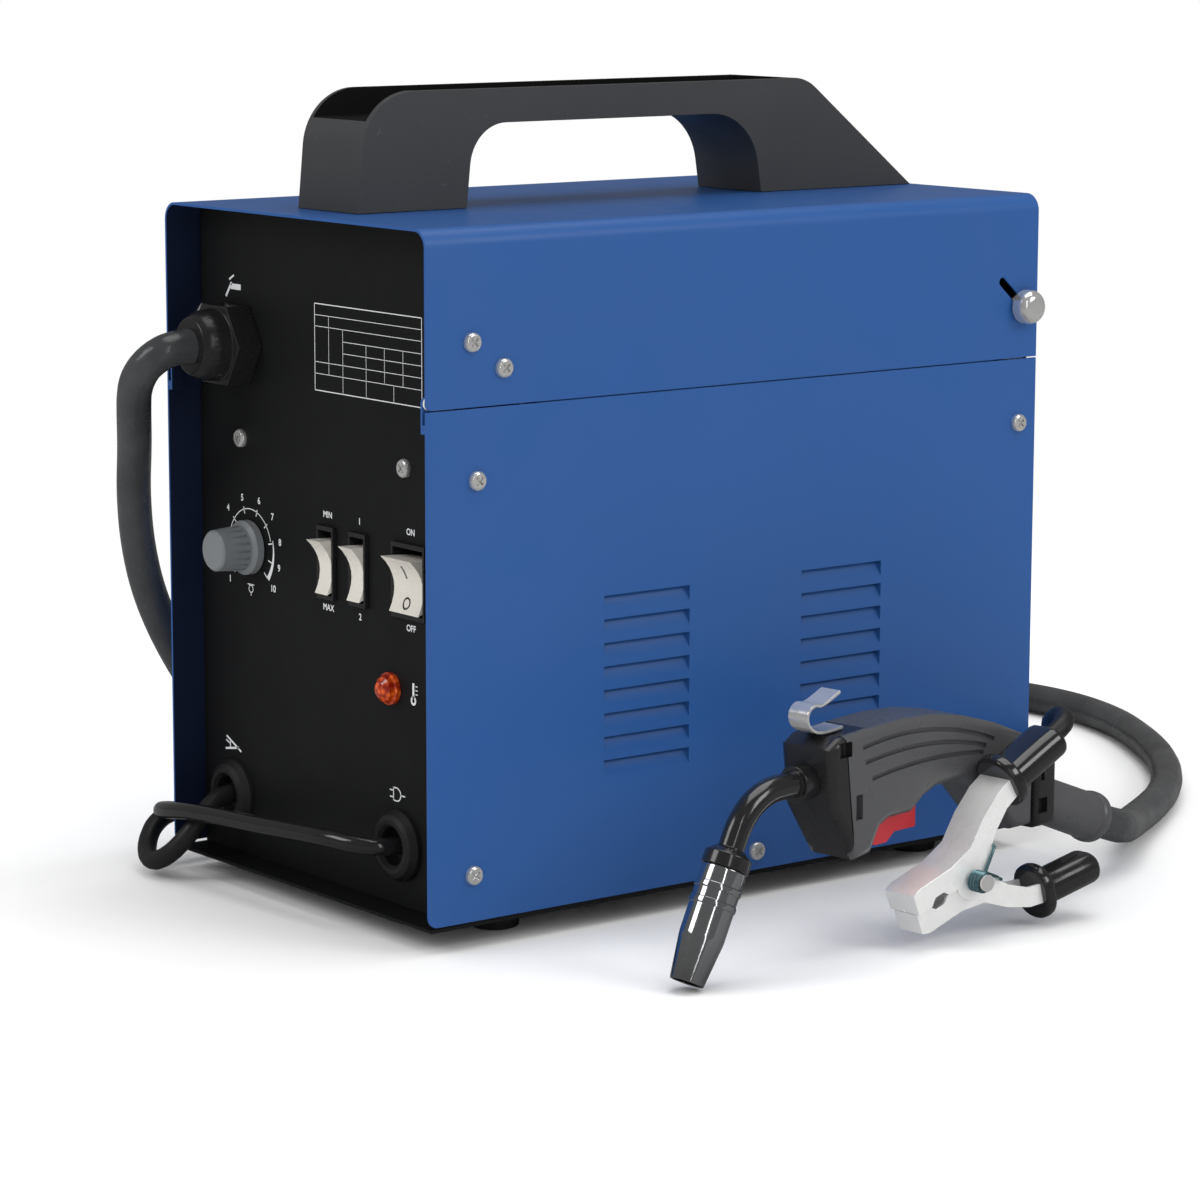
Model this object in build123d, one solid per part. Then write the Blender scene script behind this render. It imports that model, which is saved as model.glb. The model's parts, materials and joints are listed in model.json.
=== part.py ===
from build123d import *
from math import atan2, cos, degrees, hypot, pi, radians, sin, sqrt, tan
import os

# A compact MIG welding machine with its torch, earth clamp and mains lead.
# +X is the louvred right side, the control panel faces -Y, and +Z is up.
# The origin is on the floor, under the middle of the case. All sizes are in millimetres.

# ---- case
CASE_WIDTH = 206.0
CASE_DEPTH = 352.0
CASE_HEIGHT = 312.0
COVER_SHEET = 1.2
SIDE_BOTTOM = 12.0
SEAM_HEIGHT = 235.2
SEAM_GAP = 0.6
BEND_RADIUS = 8.0
PAINT_GAP = 0.1
FRONT_RECESS = 17.0
REAR_RECESS = 3.0
PANEL_SHEET = 1.5
BASE_SHEET = 1.5
FLANGE_DEPTH = 19.0
BASE_FLANGE_TOP = 30.0
SHOULDER_HEIGHT = 226.0
ARM_ROOM = 2.1
PANEL_HEADROOM = 1.0
TOP_CHAMFER = 4.0

# ---- feet
FOOT_HEIGHT = 9.5
FOOT_RADIUS = 12.0
FOOT_SPREAD_X = 74.0
FOOT_FRONT_Y = -120.0
FOOT_REAR_Y = 128.0
FOOT_RECESS = 5.0

# ---- screws
SCREW_RADIUS = 1.9
SCREW_HOLE = 2.1
HEAD_RADIUS = 4.2
HEAD_HEIGHT = 2.4
SCREW_LENGTH = 7.0
CROSS_WIDTH = 1.0
CROSS_DEPTH = 1.2
# Height and distance behind the front edge of the five screws of a side panel.
SIDE_SCREWS = [(26.1, 204.3), (CASE_DEPTH - 11.0, 205.0), (23.7, 32.6), (182.7, 20.9), (CASE_DEPTH - 11.0, 32.0)]
PANEL_SCREWS = [(-67.0, 205.5), (63.0, 206.0)]

# ---- louvres
LOUVRE_COLUMNS = [95.0, 208.2]
LOUVRE_LENGTH = 48.0
LOUVRE_ROWS = 8
LOUVRE_TOP = 147.5
LOUVRE_PITCH = 10.5
LOUVRE_HEIGHT = 7.0
LOUVRE_DEPTH = 4.0

# ---- lid, its hinge and its latch
HINGE_INSET = 3.0
STUD_RADIUS = 1.5
RUNNING_CLEARANCE = 0.06
ARM_SHEET = 1.2
EAR_GAP = 0.5
EAR_FOOT = 4.0
RIVETS = [(23.7, 263.5), (40.4, 251.6)]
RIVET_RIM = 5.0
RIVET_LENGTH = 2.7
JOGGLE_STEP = 3.2
JOGGLE_RISE = 12.0
JOGGLE_FRONT = 60.0
JOGGLE_REAR = 26.0
LATCH_LOW = (CASE_DEPTH - 9.0, 259.8)
LATCH_HIGH = (CASE_DEPTH - 22.4, 271.9)
LATCH_STEM = 1.9
LATCH_SLOT = 2.1
LATCH_KNOB_RADIUS = 8.0
LATCH_KNOB_HEIGHT = 9.0
LATCH_WASHER = 6.0

# ---- carry handle
HANDLE_X = -7.0
HANDLE_WIDTH = 47.0
HANDLE_WALL = 3.0
HANDLE_RISE = 53.0
GRIP_THICKNESS = 15.5
HANDLE_FRONT_Y = -151.0
HANDLE_REAR_Y = 173.0
GAP_FRONT_Y = -92.0
GAP_REAR_Y = 79.0
HANDLE_SCREWS = [-136.0, -107.0, 96.0, 126.0]
BOSS_RADIUS = 5.5

# ---- control panel
GLAND_X = -69.0
GLAND_Z = 249.0
GLAND_AF = 36.0
GLAND_NUT_AF = 33.0
GLAND_THREAD = 13.5
GLAND_HEX_LENGTH = 13.0
GLAND_LENGTH = 26.0
GLAND_NOSE = 12.5
GLAND_BORE = 5.0
KNOB_X = -60.7
KNOB_Z = 156.0
KNOB_RADIUS = 10.0
KNOB_FLANGE = 12.5
KNOB_HEIGHT = 20.5
KNOB_RIBS = 18
SHAFT_RADIUS = 3.0
SWITCH_Z = 157.0
NARROW_SWITCHES = [3.0, 28.0]
NARROW_HALF = 6.5
POWER_SWITCH_X = 67.0
POWER_HALF = 12.5
BEZEL_HALF_HEIGHT = 16.5
BEZEL_PROUD = 2.0
BEZEL_RIM = 0.5
SWITCH_WALL = 0.8
ROCKER_POCKET = 14.4
ROCKER_RADIUS = 14.1
ROCKER_PLAY = 0.25
ROCKER_PIN = 1.2
ROCKER_AXIS = 2.5
ROCKER_STEPS = 8
ROCKER_CREST = 6.5
ROCKER_VALLEY = 1.6
ROCKER_TILT = 10.0
SWITCH_DEPTH = 22.0
LAMP_X = 51.5
LAMP_Z = 107.6
LAMP_RADIUS = 6.2
LAMP_RIM = 7.2
LAMP_PROUD = 7.0
EARTH_X = -76.0
MAINS_X = 58.0
GROMMET_Z = 38.5
GROMMET_RADIUS = 16.0
GROMMET_MOUTH = 8.5
GROMMET_PROUD = 6.0
GROMMET_THREAD = 11.0

# ---- bulkhead and wire feed
BULKHEAD_X = -20.0
BULKHEAD_TOP = 296.0
FEED_Y = -100.0
WIRE_SPACE = 0.8
DRIVE_RADIUS = 11.0
PRESSURE_RADIUS = 8.0
ROLLER_WIDTH = 12.0
DRIVE_SHAFT = 4.0
PRESSURE_PIN = 2.5
GEARBOX_FACE = -60.0
GEARBOX_TOP = 249.5
ARM_PIVOT = (-82.0, 261.0)
SPOOL_Y = 60.0
SPOOL_Z = 240.0
SPOOL_RADIUS = 50.0
SPOOL_WIDTH = 44.0
SPOOL_HUB = 22.0
SPOOL_FLANGE = 3.0
WOUND_RADIUS = 42.0
AXLE_RADIUS = 8.0

# ---- power parts
CORE_X = 44.0
CORE_Y = -50.0
CORE_LEG = 15.0
CORE_WINDOW = 15.0
CORE_STACK = 60.0
CORE_BASE = 16.0
WINDING_GAP = 0.4
SINK_X = 42.0
SINK_Y = 78.0
FAN_X = 45.0
FAN_Z = 110.0
FAN_FRAME = 92.0
FAN_DEPTH = 25.0
FAN_DUCT = 43.0
FAN_TIP = 41.0
FAN_BLADES = 7

# ---- torch, drawn along its own length from the nozzle mouth, then turned to where it lies
TORCH_TIP = (212.0, -122.0)
TORCH_REAR = (170.0, 165.0)
TORCH_HALF = 14.5
TORCH_WALL = 2.4
SPLIT_GAP = 0.05
NECK_RADIUS = 5.75
NECK_BEND = 30.0
NOZZLE_LENGTH = 50.0
NOZZLE_MOUTH = 7.4
NOZZLE_RADIUS = 9.75
NOZZLE_WALL = 1.2
NOZZLE_AXIS = (0.456, 0.890)
TIP_RADIUS = 4.0
TRIGGER_HALF = 5.5
TRIGGER_PIVOT = (111.0, 64.0)
TRIGGER_PIN = 1.5
SLEEVE_START = (229.0, 46.9)
SLEEVE_END = (276.0, 29.0)

# ---- earth clamp, drawn flat about its pin, then leaned to where it lies
CLAMP_PIN = (216.0, 27.0, 27.8)
CLAMP_TILT = 20.5
CLAMP_LEAN = 2.0
CLAMP_SHEET = 1.6
UPPER_HALF = 9.5
LOWER_HALF = 7.6
PIVOT_DISC = 9.0
PIN_RADIUS = 3.0
JAW_HALF = 11.0
GRIP_PLAY = 0.2
GRIP_LENGTH = 33.0
GRIP_HEIGHT = 14.5
GRIP_RING = 6.0
SPRING_WIRE = 0.8
SPRING_RADIUS = 4.1
SPRING_TURNS = 5

# ---- leads
HOSE_DIAMETER = 16.0
EARTH_DIAMETER = 9.0
MAINS_DIAMETER = 8.0
COIL_CENTRE = (-74.0, 241.0)
COIL_RADIUS = 44.0
COIL_WIDE = 3
COIL_HIGH = 2
PLUG_X = -142.0
PLUG_Y = 312.0
PLUG_WIDTH = 50.0
PLUG_LENGTH = 46.0
PLUG_THICKNESS = 25.0
PLUG_CORNER = 8.0
PIN_SPACING = 22.2
PIN_SETBACK = 14.0
PIN_LENGTH = 18.0
PIN_LONG = 6.4
PIN_THIN = 4.0

HOSE_ROUTE = [
    (-69, -185, 249), (-69, -193.3, 249), (-71.5, -200.5, 245.7), (-76.6, -205, 239.8),
    (-84.4, -205, 230.5), (-95, -199, 217.5), (-108, -191, 200), (-120, -185, 177), (-127, -179, 151),
    (-130, -171, 125), (-132, -157, 98),
    (-137, -137, 71), (-144, -111, 45), (-153, -78, 24), (-164, -38, 11), (-178, 8, 8),
    (-195, 58, 8), (-212, 110, 8), (-225, 164, 8), (-231, 220, 8), (-229, 276, 8),
    (-216, 330, 8), (-191, 374, 8), (-152, 401, 8), (-104, 406, 8), (-56, 394, 8),
    (-12, 371, 8), (28, 344, 8), (62, 314, 8), (89, 283, 8), (110, 253, 9),
    (128, 226, 11), (145, 203, 14), (160, 185, 18), (169.74, 166.82, 22.95), (172.04, 151.1, 29),
]
EARTH_ROUTE = [
    (-76, -157.4, 38.5), (-76, -167.5, 38.5), (-74, -177.5, 32), (-74, -186, 22.5), (-80.5, -192, 13),
    (-91, -194, 7.5), (-102.5, -191.5, 7.5), (-112, -185.5, 12.5), (-118.5, -177, 19), (-122.5, -164, 22.5),
    (-125, -147, 20), (-127, -124, 12), (-130, -96, 6), (-134, -60, 4.5), (-140, -15, 4.5),
    (-148, 34, 4.5), (-158, 84, 4.5), (-168, 136, 4.5), (-177, 188, 4.5), (-183, 240, 4.5),
    (-186, 290, 4.5), (-184, 334, 4.5), (-172, 368, 4.5), (-146, 384, 4.5), (-116, 372, 4.5),
    (-88, 346, 4.5), (-60, 318, 4.5), (-31, 292, 5), (-1, 266, 8), (30, 243, 16), (62, 221, 29), (94, 198, 44),
    (126, 170, 56), (153, 143, 68), (175, 120.5, 78), (190, 108, 84), (202, 100, 88.5), (210.3, 95.1, 89.1),
    (214.8, 89.2, 86.77), (214.84, 82.13, 82.99),
]
MAINS_ROUTE = [
    (58, -157.4, 38.5), (58, -168, 38.5), (49, -177, 39.5), (34, -182.5, 41), (12, -184.5, 40),
    (-16, -186, 38), (-46, -187.5, 36.5), (-71, -188.5, 34.5), (-91, -187.5, 31), (-105.5, -182.5, 28),
    (-112.5, -171, 25.5), (-113, -154, 21), (-113, -130, 12), (-112.5, -101, 5), (-113, -64, 4),
    (-112, -14, 4), (-113, 40, 4), (-115, 92, 4), (-119, 142, 4), (-124, 190, 4), (-126, 241, 4),
]
PLUG_ROUTE = [
    (-118, 241, 12), (-119, 256, 12), (-124, 270, 12), (-133, 283, 12.5), (-142, 297, 12.5), (-142, 312, 12.5),
]

# ---- places that several pieces share
x_out = CASE_WIDTH / 2
x_in = x_out - COVER_SHEET
y_front = -CASE_DEPTH / 2
y_rear = CASE_DEPTH / 2
seam_top = SEAM_HEIGHT + SEAM_GAP
panel_y = y_front + FRONT_RECESS
panel_back = panel_y + PANEL_SHEET
rear_y = y_rear - REAR_RECESS
rear_inner = rear_y - PANEL_SHEET
base_top = FOOT_HEIGHT + BASE_SHEET
floor_z = base_top + PAINT_GAP
frame_x = x_in - PAINT_GAP
lid_under = CASE_HEIGHT - COVER_SHEET
hinge_y = y_front + HINGE_INSET
hinge_z = seam_top + HINGE_INSET
arm_out = x_in - PAINT_GAP
arm_in = arm_out - ARM_SHEET
ear_out = arm_in - EAR_GAP
ear_in = ear_out - ARM_SHEET
feet = [(x, y) for x in (-FOOT_SPREAD_X, FOOT_SPREAD_X) for y in (FOOT_FRONT_Y, FOOT_REAR_Y)]


def box(x0, x1, y0, y1, z0, z1):
    centre = Pos((x0 + x1) / 2, (y0 + y1) / 2, (z0 + z1) / 2)
    return centre * Box(abs(x1 - x0), abs(y1 - y0), abs(z1 - z0))


def rod_x(x0, x1, y, z, r):
    return Pos((x0 + x1) / 2, y, z) * Rot(0, 90, 0) * Cylinder(r, abs(x1 - x0))


def rod_y(x, y0, y1, z, r):
    return Pos(x, (y0 + y1) / 2, z) * Rot(90, 0, 0) * Cylinder(r, abs(y1 - y0))


def rod_z(x, y, z0, z1, r):
    return Pos(x, y, (z0 + z1) / 2) * Cylinder(r, abs(z1 - z0))


def outline(points):
    return make_face(Polyline(*points, close=True))


def plate_x(points, x0, x1):
    """A flat outline of (y, z) points, given thickness from x0 to x1."""
    face = Plane(origin=(x0, 0, 0), x_dir=(0, 1, 0), z_dir=(1, 0, 0)) * outline(points)
    return extrude(face, x1 - x0)


def plate_y(points, y0, y1):
    """A flat outline of (x, z) points, given thickness from y0 to y1."""
    face = Plane(origin=(0, y0, 0), x_dir=(1, 0, 0), z_dir=(0, -1, 0)) * outline(points)
    return extrude(face, -(y1 - y0))


def turned_y(points, x, z):
    """A (radius, y) outline turned about the line along Y through (x, z)."""
    face = Plane(origin=(0, 0, 0), x_dir=(1, 0, 0), z_dir=(0, 0, 1)) * outline(points)
    return Pos(x, 0, z) * revolve(face, Axis.Y, 360)


def mirrored(shape):
    return mirror(shape, Plane.YZ)


def group(*shapes):
    solids = [s for shape in shapes for s in shape.solids()]
    return Compound(children=solids)


def save(name, shape):
    export_step(shape, f"parts/{name}.step")


def screw(length=SCREW_LENGTH, head=HEAD_RADIUS):
    """A cross-head pan screw that stands on its shank, with the seat of its head at the origin."""
    body = Cylinder(head, HEAD_HEIGHT, align=(Align.CENTER, Align.CENTER, Align.MIN))
    body = fillet(body.edges().sort_by(Axis.Z)[-1], HEAD_HEIGHT * 0.6)
    body += Pos(0, 0, -length / 2) * Cylinder(SCREW_RADIUS, length)
    for angle in (0, 90):
        slot = Box(head * 1.1, CROSS_WIDTH, CROSS_DEPTH * 2)
        body -= Pos(0, 0, HEAD_HEIGHT) * Rot(0, 0, angle + 45) * slot
    return body


def screw_x(side, y, z, seat, length=SCREW_LENGTH):
    """A screw whose head rests on the face at seat, on the right (1) or the left (-1)."""
    return Pos(side * seat, y, z) * Rot(0, 90 * side, 0) * screw(length)


# ---- case pieces

def base_pan():
    pan = box(-frame_x, frame_x, y_front + 2, rear_y - 1, FOOT_HEIGHT, base_top)
    y0 = panel_back + FLANGE_DEPTH + 1
    y1 = rear_inner - FLANGE_DEPTH - 1
    for side in (-1, 1):
        pan += box(side * (frame_x - BASE_SHEET), side * frame_x, y0, y1, FOOT_HEIGHT, BASE_FLANGE_TOP)
    for x, y in feet:
        pan -= rod_z(x, y, FOOT_HEIGHT - 1, base_top + 1, SCREW_HOLE)
    back, z = SIDE_SCREWS[3]
    return pan - rod_x(-x_out, x_out, y_front + back, z, SCREW_HOLE)


def end_panel(outer, inner):
    """The upright sheet of a case end, narrower above its shoulders, with flanges that face inwards."""
    shoulder_x = frame_x - ARM_ROOM
    top = lid_under - PANEL_HEADROOM
    inward = 1 if inner > outer else -1
    panel = box(-frame_x, frame_x, outer, inner, floor_z, SHOULDER_HEIGHT)
    panel += box(-shoulder_x, shoulder_x, outer, inner, SHOULDER_HEIGHT - 1, top)
    for side in (-1, 1):
        panel += box(side * (frame_x - PANEL_SHEET), side * frame_x, inner - inward * 0.5,
                     inner + inward * FLANGE_DEPTH, floor_z, SHOULDER_HEIGHT)
    return chamfer(panel.edges().filter_by(Axis.Y).group_by(Axis.Z)[-1], TOP_CHAMFER)


def front_panel():
    panel = end_panel(panel_y, panel_back)
    panel -= rod_y(GLAND_X, panel_y - 1, panel_back + 1, GLAND_Z, GLAND_THREAD + PAINT_GAP)
    panel -= rod_y(KNOB_X, panel_y - 1, panel_back + 1, KNOB_Z, SHAFT_RADIUS + 1)
    panel -= rod_y(LAMP_X, panel_y - 1, panel_back + 1, LAMP_Z, LAMP_RADIUS - 0.4)
    for x in (EARTH_X, MAINS_X):
        panel -= rod_y(x, panel_y - 1, panel_back + 1, GROMMET_Z, GROMMET_THREAD + PAINT_GAP)
    for x, z in PANEL_SCREWS:
        panel -= rod_y(x, panel_y - 1, panel_back + 1, z, SCREW_HOLE)
    for x in NARROW_SWITCHES:
        panel -= switch_case(x, NARROW_HALF, PAINT_GAP, panel_y - 1)
    panel -= switch_case(POWER_SWITCH_X, POWER_HALF, PAINT_GAP, panel_y - 1)
    for index in (0, 2):
        back, z = SIDE_SCREWS[index]
        panel -= rod_x(-x_out, x_out, y_front + back, z, SCREW_HOLE)
    return panel


def rear_panel():
    panel = end_panel(rear_y, rear_inner)
    slots = 9
    for i in range(slots):
        x = (i - (slots - 1) / 2) * 9.0
        half = sqrt(FAN_TIP**2 - x**2)
        panel -= box(FAN_X + x - 2, FAN_X + x + 2, rear_inner - 1, rear_y + 1, FAN_Z - half, FAN_Z + half)
    for index in (1, 4):
        back, z = SIDE_SCREWS[index]
        panel -= rod_x(-x_out, x_out, y_front + back, z, SCREW_HOLE)
    return panel


def louvre(y0, z_top):
    """The pressed pocket below a louvre's cut, and the space that it opens through the sheet."""
    z_low = z_top - LOUVRE_HEIGHT
    y1 = y0 + LOUVRE_LENGTH
    pocket = [(x_in, z_low), (x_in, z_top), (x_in - LOUVRE_DEPTH, z_top)]
    space = [(x_out, z_low), (x_out, z_top), (x_out - LOUVRE_DEPTH, z_top)]
    return (plate_y(pocket, y0 - COVER_SHEET, y1 + COVER_SHEET), plate_y(space, y0, y1))


def right_side_panel():
    panel = box(x_in, x_out, y_front, y_rear, SIDE_BOTTOM, SEAM_HEIGHT)
    corners = panel.edges().filter_by(Axis.X).group_by(Axis.Z)[0]
    panel = fillet(corners, 5)
    # The strip behind the seam, stepped inwards to back the lid.
    y0, y1 = y_front + JOGGLE_FRONT, y_rear - JOGGLE_REAR
    joggle_out = x_in - 0.3
    joggle_in = joggle_out - COVER_SHEET
    panel += box(joggle_in, x_in + 0.2, y0, y1, SEAM_HEIGHT - JOGGLE_STEP, SEAM_HEIGHT)
    panel += box(joggle_in, joggle_out, y0, y1, SEAM_HEIGHT - JOGGLE_STEP, SEAM_HEIGHT + JOGGLE_RISE)
    # The ear that the lid's stud turns in.
    ear_low = hinge_z - HINGE_INSET - 10
    ear = rod_x(ear_in, ear_out, hinge_y, hinge_z, HINGE_INSET)
    ear += box(ear_in, ear_out, hinge_y - HINGE_INSET, hinge_y + HINGE_INSET, ear_low, hinge_z)
    ear += box(ear_in, x_in + 0.2, hinge_y - HINGE_INSET, hinge_y + HINGE_INSET, ear_low, ear_low + EAR_FOOT)
    ear -= rod_x(ear_in - 1, ear_out + 1, hinge_y, hinge_z, STUD_RADIUS + RUNNING_CLEARANCE)
    panel += ear
    pockets, spaces = [], []
    for column in LOUVRE_COLUMNS:
        for row in range(LOUVRE_ROWS):
            pocket, space = louvre(y_front + column, LOUVRE_TOP - row * LOUVRE_PITCH)
            pockets.append(pocket)
            spaces.append(space)
    panel = panel + pockets
    panel = panel - spaces
    for back, z in SIDE_SCREWS:
        panel -= rod_x(x_in - 1, x_out + 1, y_front + back, z, SCREW_HOLE)
    return panel


def lid():
    shell = box(-x_out, x_out, y_front, y_rear, seam_top, CASE_HEIGHT)
    shell = fillet(shell.edges().filter_by(Axis.Y).group_by(Axis.Z)[-1], BEND_RADIUS)
    inner = box(-x_in, x_in, y_front - 1, y_rear + 1, seam_top - 1, lid_under)
    inner = fillet(inner.edges().filter_by(Axis.Y).group_by(Axis.Z)[-1], BEND_RADIUS - COVER_SHEET)
    shell -= inner
    corner = box(-x_out - 1, x_out + 1, y_front - 1, hinge_y, seam_top - 1, hinge_z)
    shell -= corner - rod_x(-x_out - 2, x_out + 2, hinge_y, hinge_z, HINGE_INSET)
    for back, z in RIVETS:
        shell -= rod_x(-x_out - 1, x_out + 1, y_front + back, z, SCREW_HOLE)
    for y in HANDLE_SCREWS:
        shell -= rod_z(HANDLE_X, y, lid_under - 1, CASE_HEIGHT + 1, SCREW_HOLE)
    return shell - latch_slot(x_in - 1, x_out + 1, LATCH_SLOT)


def latch_slot(x0, x1, r):
    y0, z0 = y_front + LATCH_LOW[0], LATCH_LOW[1]
    y1, z1 = y_front + LATCH_HIGH[0], LATCH_HIGH[1]
    reach = hypot(y1 - y0, z1 - z0)
    nx, nz = -(z1 - z0) / reach * r, (y1 - y0) / reach * r
    sides = [(y0 + nx, z0 + nz), (y1 + nx, z1 + nz), (y1 - nx, z1 - nz), (y0 - nx, z0 - nz)]
    return plate_x(sides, x0, x1) + rod_x(x0, x1, y0, z0, r) + rod_x(x0, x1, y1, z1, r)


def hinge_arm():
    rims = [(hinge_y, hinge_z, HINGE_INSET)]
    rims += [(y_front + back, z, RIVET_RIM) for back, z in RIVETS]
    arm = rod_x(arm_in, arm_out, rims[0][0], rims[0][1], rims[0][2])
    for (ya, za, ra), (yb, zb, rb) in ((rims[0], rims[1]), (rims[1], rims[2]), (rims[2], rims[0])):
        reach = hypot(yb - ya, zb - za)
        ny, nz = -(zb - za) / reach, (yb - ya) / reach
        web = [(ya + ny * ra, za + nz * ra), (yb + ny * rb, zb + nz * rb),
               (yb - ny * rb, zb - nz * rb), (ya - ny * ra, za - nz * ra)]
        arm += plate_x(web, arm_in, arm_out)
        arm += rod_x(arm_in, arm_out, yb, zb, rb)
    arm += rod_x(ear_in - 1, arm_in, hinge_y, hinge_z, STUD_RADIUS)
    for back, z in RIVETS:
        arm -= rod_x(arm_in - 1, arm_out + 1, y_front + back, z, SCREW_HOLE)
    return arm


def latch_knob():
    y, z = y_front + LATCH_LOW[0], LATCH_LOW[1]
    seat = x_out + 0.4
    knob = Cylinder(LATCH_KNOB_RADIUS, LATCH_KNOB_HEIGHT, align=(Align.CENTER, Align.CENTER, Align.MIN))
    knob = fillet(knob.edges().sort_by(Axis.Z)[-1], LATCH_KNOB_HEIGHT * 0.55)
    knob = fillet(knob.edges().sort_by(Axis.Z)[0], 1)
    knob = Pos(seat, y, z) * Rot(0, 90, 0) * knob
    knob += rod_x(x_in - 6, seat + 1, y, z, LATCH_STEM)
    return knob + rod_x(x_in - 1.9, x_in - 0.4, y, z, LATCH_WASHER)


def latch_catch():
    """The rest that the latch stem drops into, on the inner face of the rear panel."""
    y, z = y_front + LATCH_LOW[0], LATCH_LOW[1]
    back = rear_inner - PAINT_GAP
    reach = LATCH_STEM + 0.5
    catch = box(x_in - 4.6, x_in - 3.1, y - 8, back, SHOULDER_HEIGHT + 4, z - reach)
    catch += box(x_in - 4.6, x_in - 3.1, y + reach, back, SHOULDER_HEIGHT + 4, z + 9)
    return catch + box(x_in - 16, x_in - 3.1, back - 1.5, back, SHOULDER_HEIGHT + 4, z - reach)


def carry_handle():
    x0, x1 = HANDLE_X - HANDLE_WIDTH / 2, HANDLE_X + HANDLE_WIDTH / 2
    foot = CASE_HEIGHT + PAINT_GAP
    top = CASE_HEIGHT + HANDLE_RISE
    under = top - GRIP_THICKNESS
    outer = [(HANDLE_FRONT_Y, foot), (HANDLE_FRONT_Y + 5, top), (106.0, top), (HANDLE_REAR_Y, foot)]
    body = plate_x(outer, x0, x1)
    ridge = body.edges().filter_by(Axis.X).group_by(Axis.Z)[-1].sort_by(Axis.Y)
    body = fillet(ridge[0], 27)
    ridge = body.edges().filter_by(Axis.X).filter_by(lambda e: e.center().Y > 90 and e.center().Z > under)
    body = fillet(ridge, 22)
    gap = plate_x([(GAP_FRONT_Y, foot - 1), (GAP_FRONT_Y + 4, under), (GAP_REAR_Y - 6, under),
                   (GAP_REAR_Y, foot - 1)], x0 - 1, x1 + 1)
    arch = gap.edges().filter_by(Axis.X).group_by(Axis.Z)[-1].sort_by(Axis.Y)
    gap = fillet(arch[0], 20)
    arch = gap.edges().filter_by(Axis.X).filter_by(lambda e: e.center().Y > 60 and e.center().Z > foot + 20)
    gap = fillet(arch, 28)
    body -= gap
    inner0, inner1 = x0 + HANDLE_WALL, x1 - HANDLE_WALL
    body -= box(inner0, inner1, HANDLE_FRONT_Y - 1, 98, under + HANDLE_WALL, top + 1)
    for y0, y1, z1 in ((HANDLE_FRONT_Y + 8, GAP_FRONT_Y - 5, under - 4), (GAP_REAR_Y + 5, 138, under - 14)):
        body -= box(inner0, inner1, y0, y1, foot - 1, z1)
    for y in HANDLE_SCREWS:
        roof = under - 1 if y < 0 else under - 11
        body += rod_z(HANDLE_X, y, foot, roof, BOSS_RADIUS)
        body -= rod_z(HANDLE_X, y, foot - 1, foot + 10, SCREW_RADIUS + RUNNING_CLEARANCE)
    return body


def rubber_foot(x, y):
    foot = Cone(FOOT_RADIUS - 1, FOOT_RADIUS, FOOT_HEIGHT)
    foot = Pos(x, y, FOOT_HEIGHT / 2) * foot
    foot -= rod_z(x, y, -1, FOOT_RECESS, HEAD_RADIUS + 0.6)
    return foot - rod_z(x, y, 0, FOOT_HEIGHT + 1, SCREW_HOLE)


def chassis_screws():
    screws = []
    for side in (-1, 1):
        screws += [screw_x(side, y_front + back, z, x_out) for back, z in SIDE_SCREWS]
    for x, z in PANEL_SCREWS:
        screws.append(Pos(x, panel_y, z) * Rot(90, 0, 0) * screw())
    for x, y in feet:
        screws.append(Pos(x, y, FOOT_RECESS) * Rot(180, 0, 0) * screw())
    return group(*screws)


def lid_screws():
    screws = []
    for side in (-1, 1):
        screws += [screw_x(side, y_front + back, z, x_out, RIVET_LENGTH) for back, z in RIVETS]
    for y in HANDLE_SCREWS:
        screws.append(Pos(HANDLE_X, y, lid_under) * Rot(180, 0, 0) * screw())
    return group(*screws)


# ---- control panel pieces

def switch_case(x, half, play, y0):
    """The part of a switch behind its bezel, from y0 inwards, grown by play."""
    wide = half - BEZEL_RIM + play
    tall = ROCKER_POCKET + SWITCH_WALL + play
    return box(x - wide, x + wide, y0, panel_y + SWITCH_DEPTH, SWITCH_Z - tall, SWITCH_Z + tall)


def switch_body(x, half):
    body = switch_case(x, half, 0, panel_y)
    body += box(x - half, x + half, panel_y - BEZEL_PROUD, panel_y, SWITCH_Z - BEZEL_HALF_HEIGHT,
                SWITCH_Z + BEZEL_HALF_HEIGHT)
    pocket = half - BEZEL_RIM - SWITCH_WALL
    body -= box(x - pocket, x + pocket, panel_y - BEZEL_PROUD - 1, panel_y + 14,
                SWITCH_Z - ROCKER_POCKET, SWITCH_Z + ROCKER_POCKET)
    body -= rod_x(x - pocket - ROCKER_PIN / 2, x + pocket + ROCKER_PIN / 2, panel_y + ROCKER_AXIS, SWITCH_Z,
                  ROCKER_PIN + RUNNING_CLEARANCE)
    for side in (-1, 1):
        blade = x + side * (half - 4)
        body += box(blade - 0.4, blade + 0.4, panel_y + SWITCH_DEPTH - 1, panel_y + SWITCH_DEPTH + 8,
                    SWITCH_Z - 3, SWITCH_Z + 3)
    return body


def rocker(x, half):
    """A rocker with a hollow face and two stub pins, shown with its upper end out."""
    pocket = half - BEZEL_RIM - SWITCH_WALL
    wide = pocket - ROCKER_PLAY
    rise = sqrt(ROCKER_RADIUS**2 - ROCKER_CREST**2)
    face = []
    for i in range(ROCKER_STEPS + 1):
        part = 1 - 2 * i / ROCKER_STEPS
        bulge = ROCKER_VALLEY + (ROCKER_CREST - ROCKER_VALLEY) * part**2
        face.append((-ROCKER_AXIS - bulge, rise * part))
    face += [(7, -9), (7, 9)]
    key = plate_x(face, -wide, wide) + rod_x(-pocket - 0.4, pocket + 0.4, 0, 0, ROCKER_PIN)
    return Pos(x, panel_y + ROCKER_AXIS, SWITCH_Z) * Rot(ROCKER_TILT, 0, 0) * key


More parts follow.
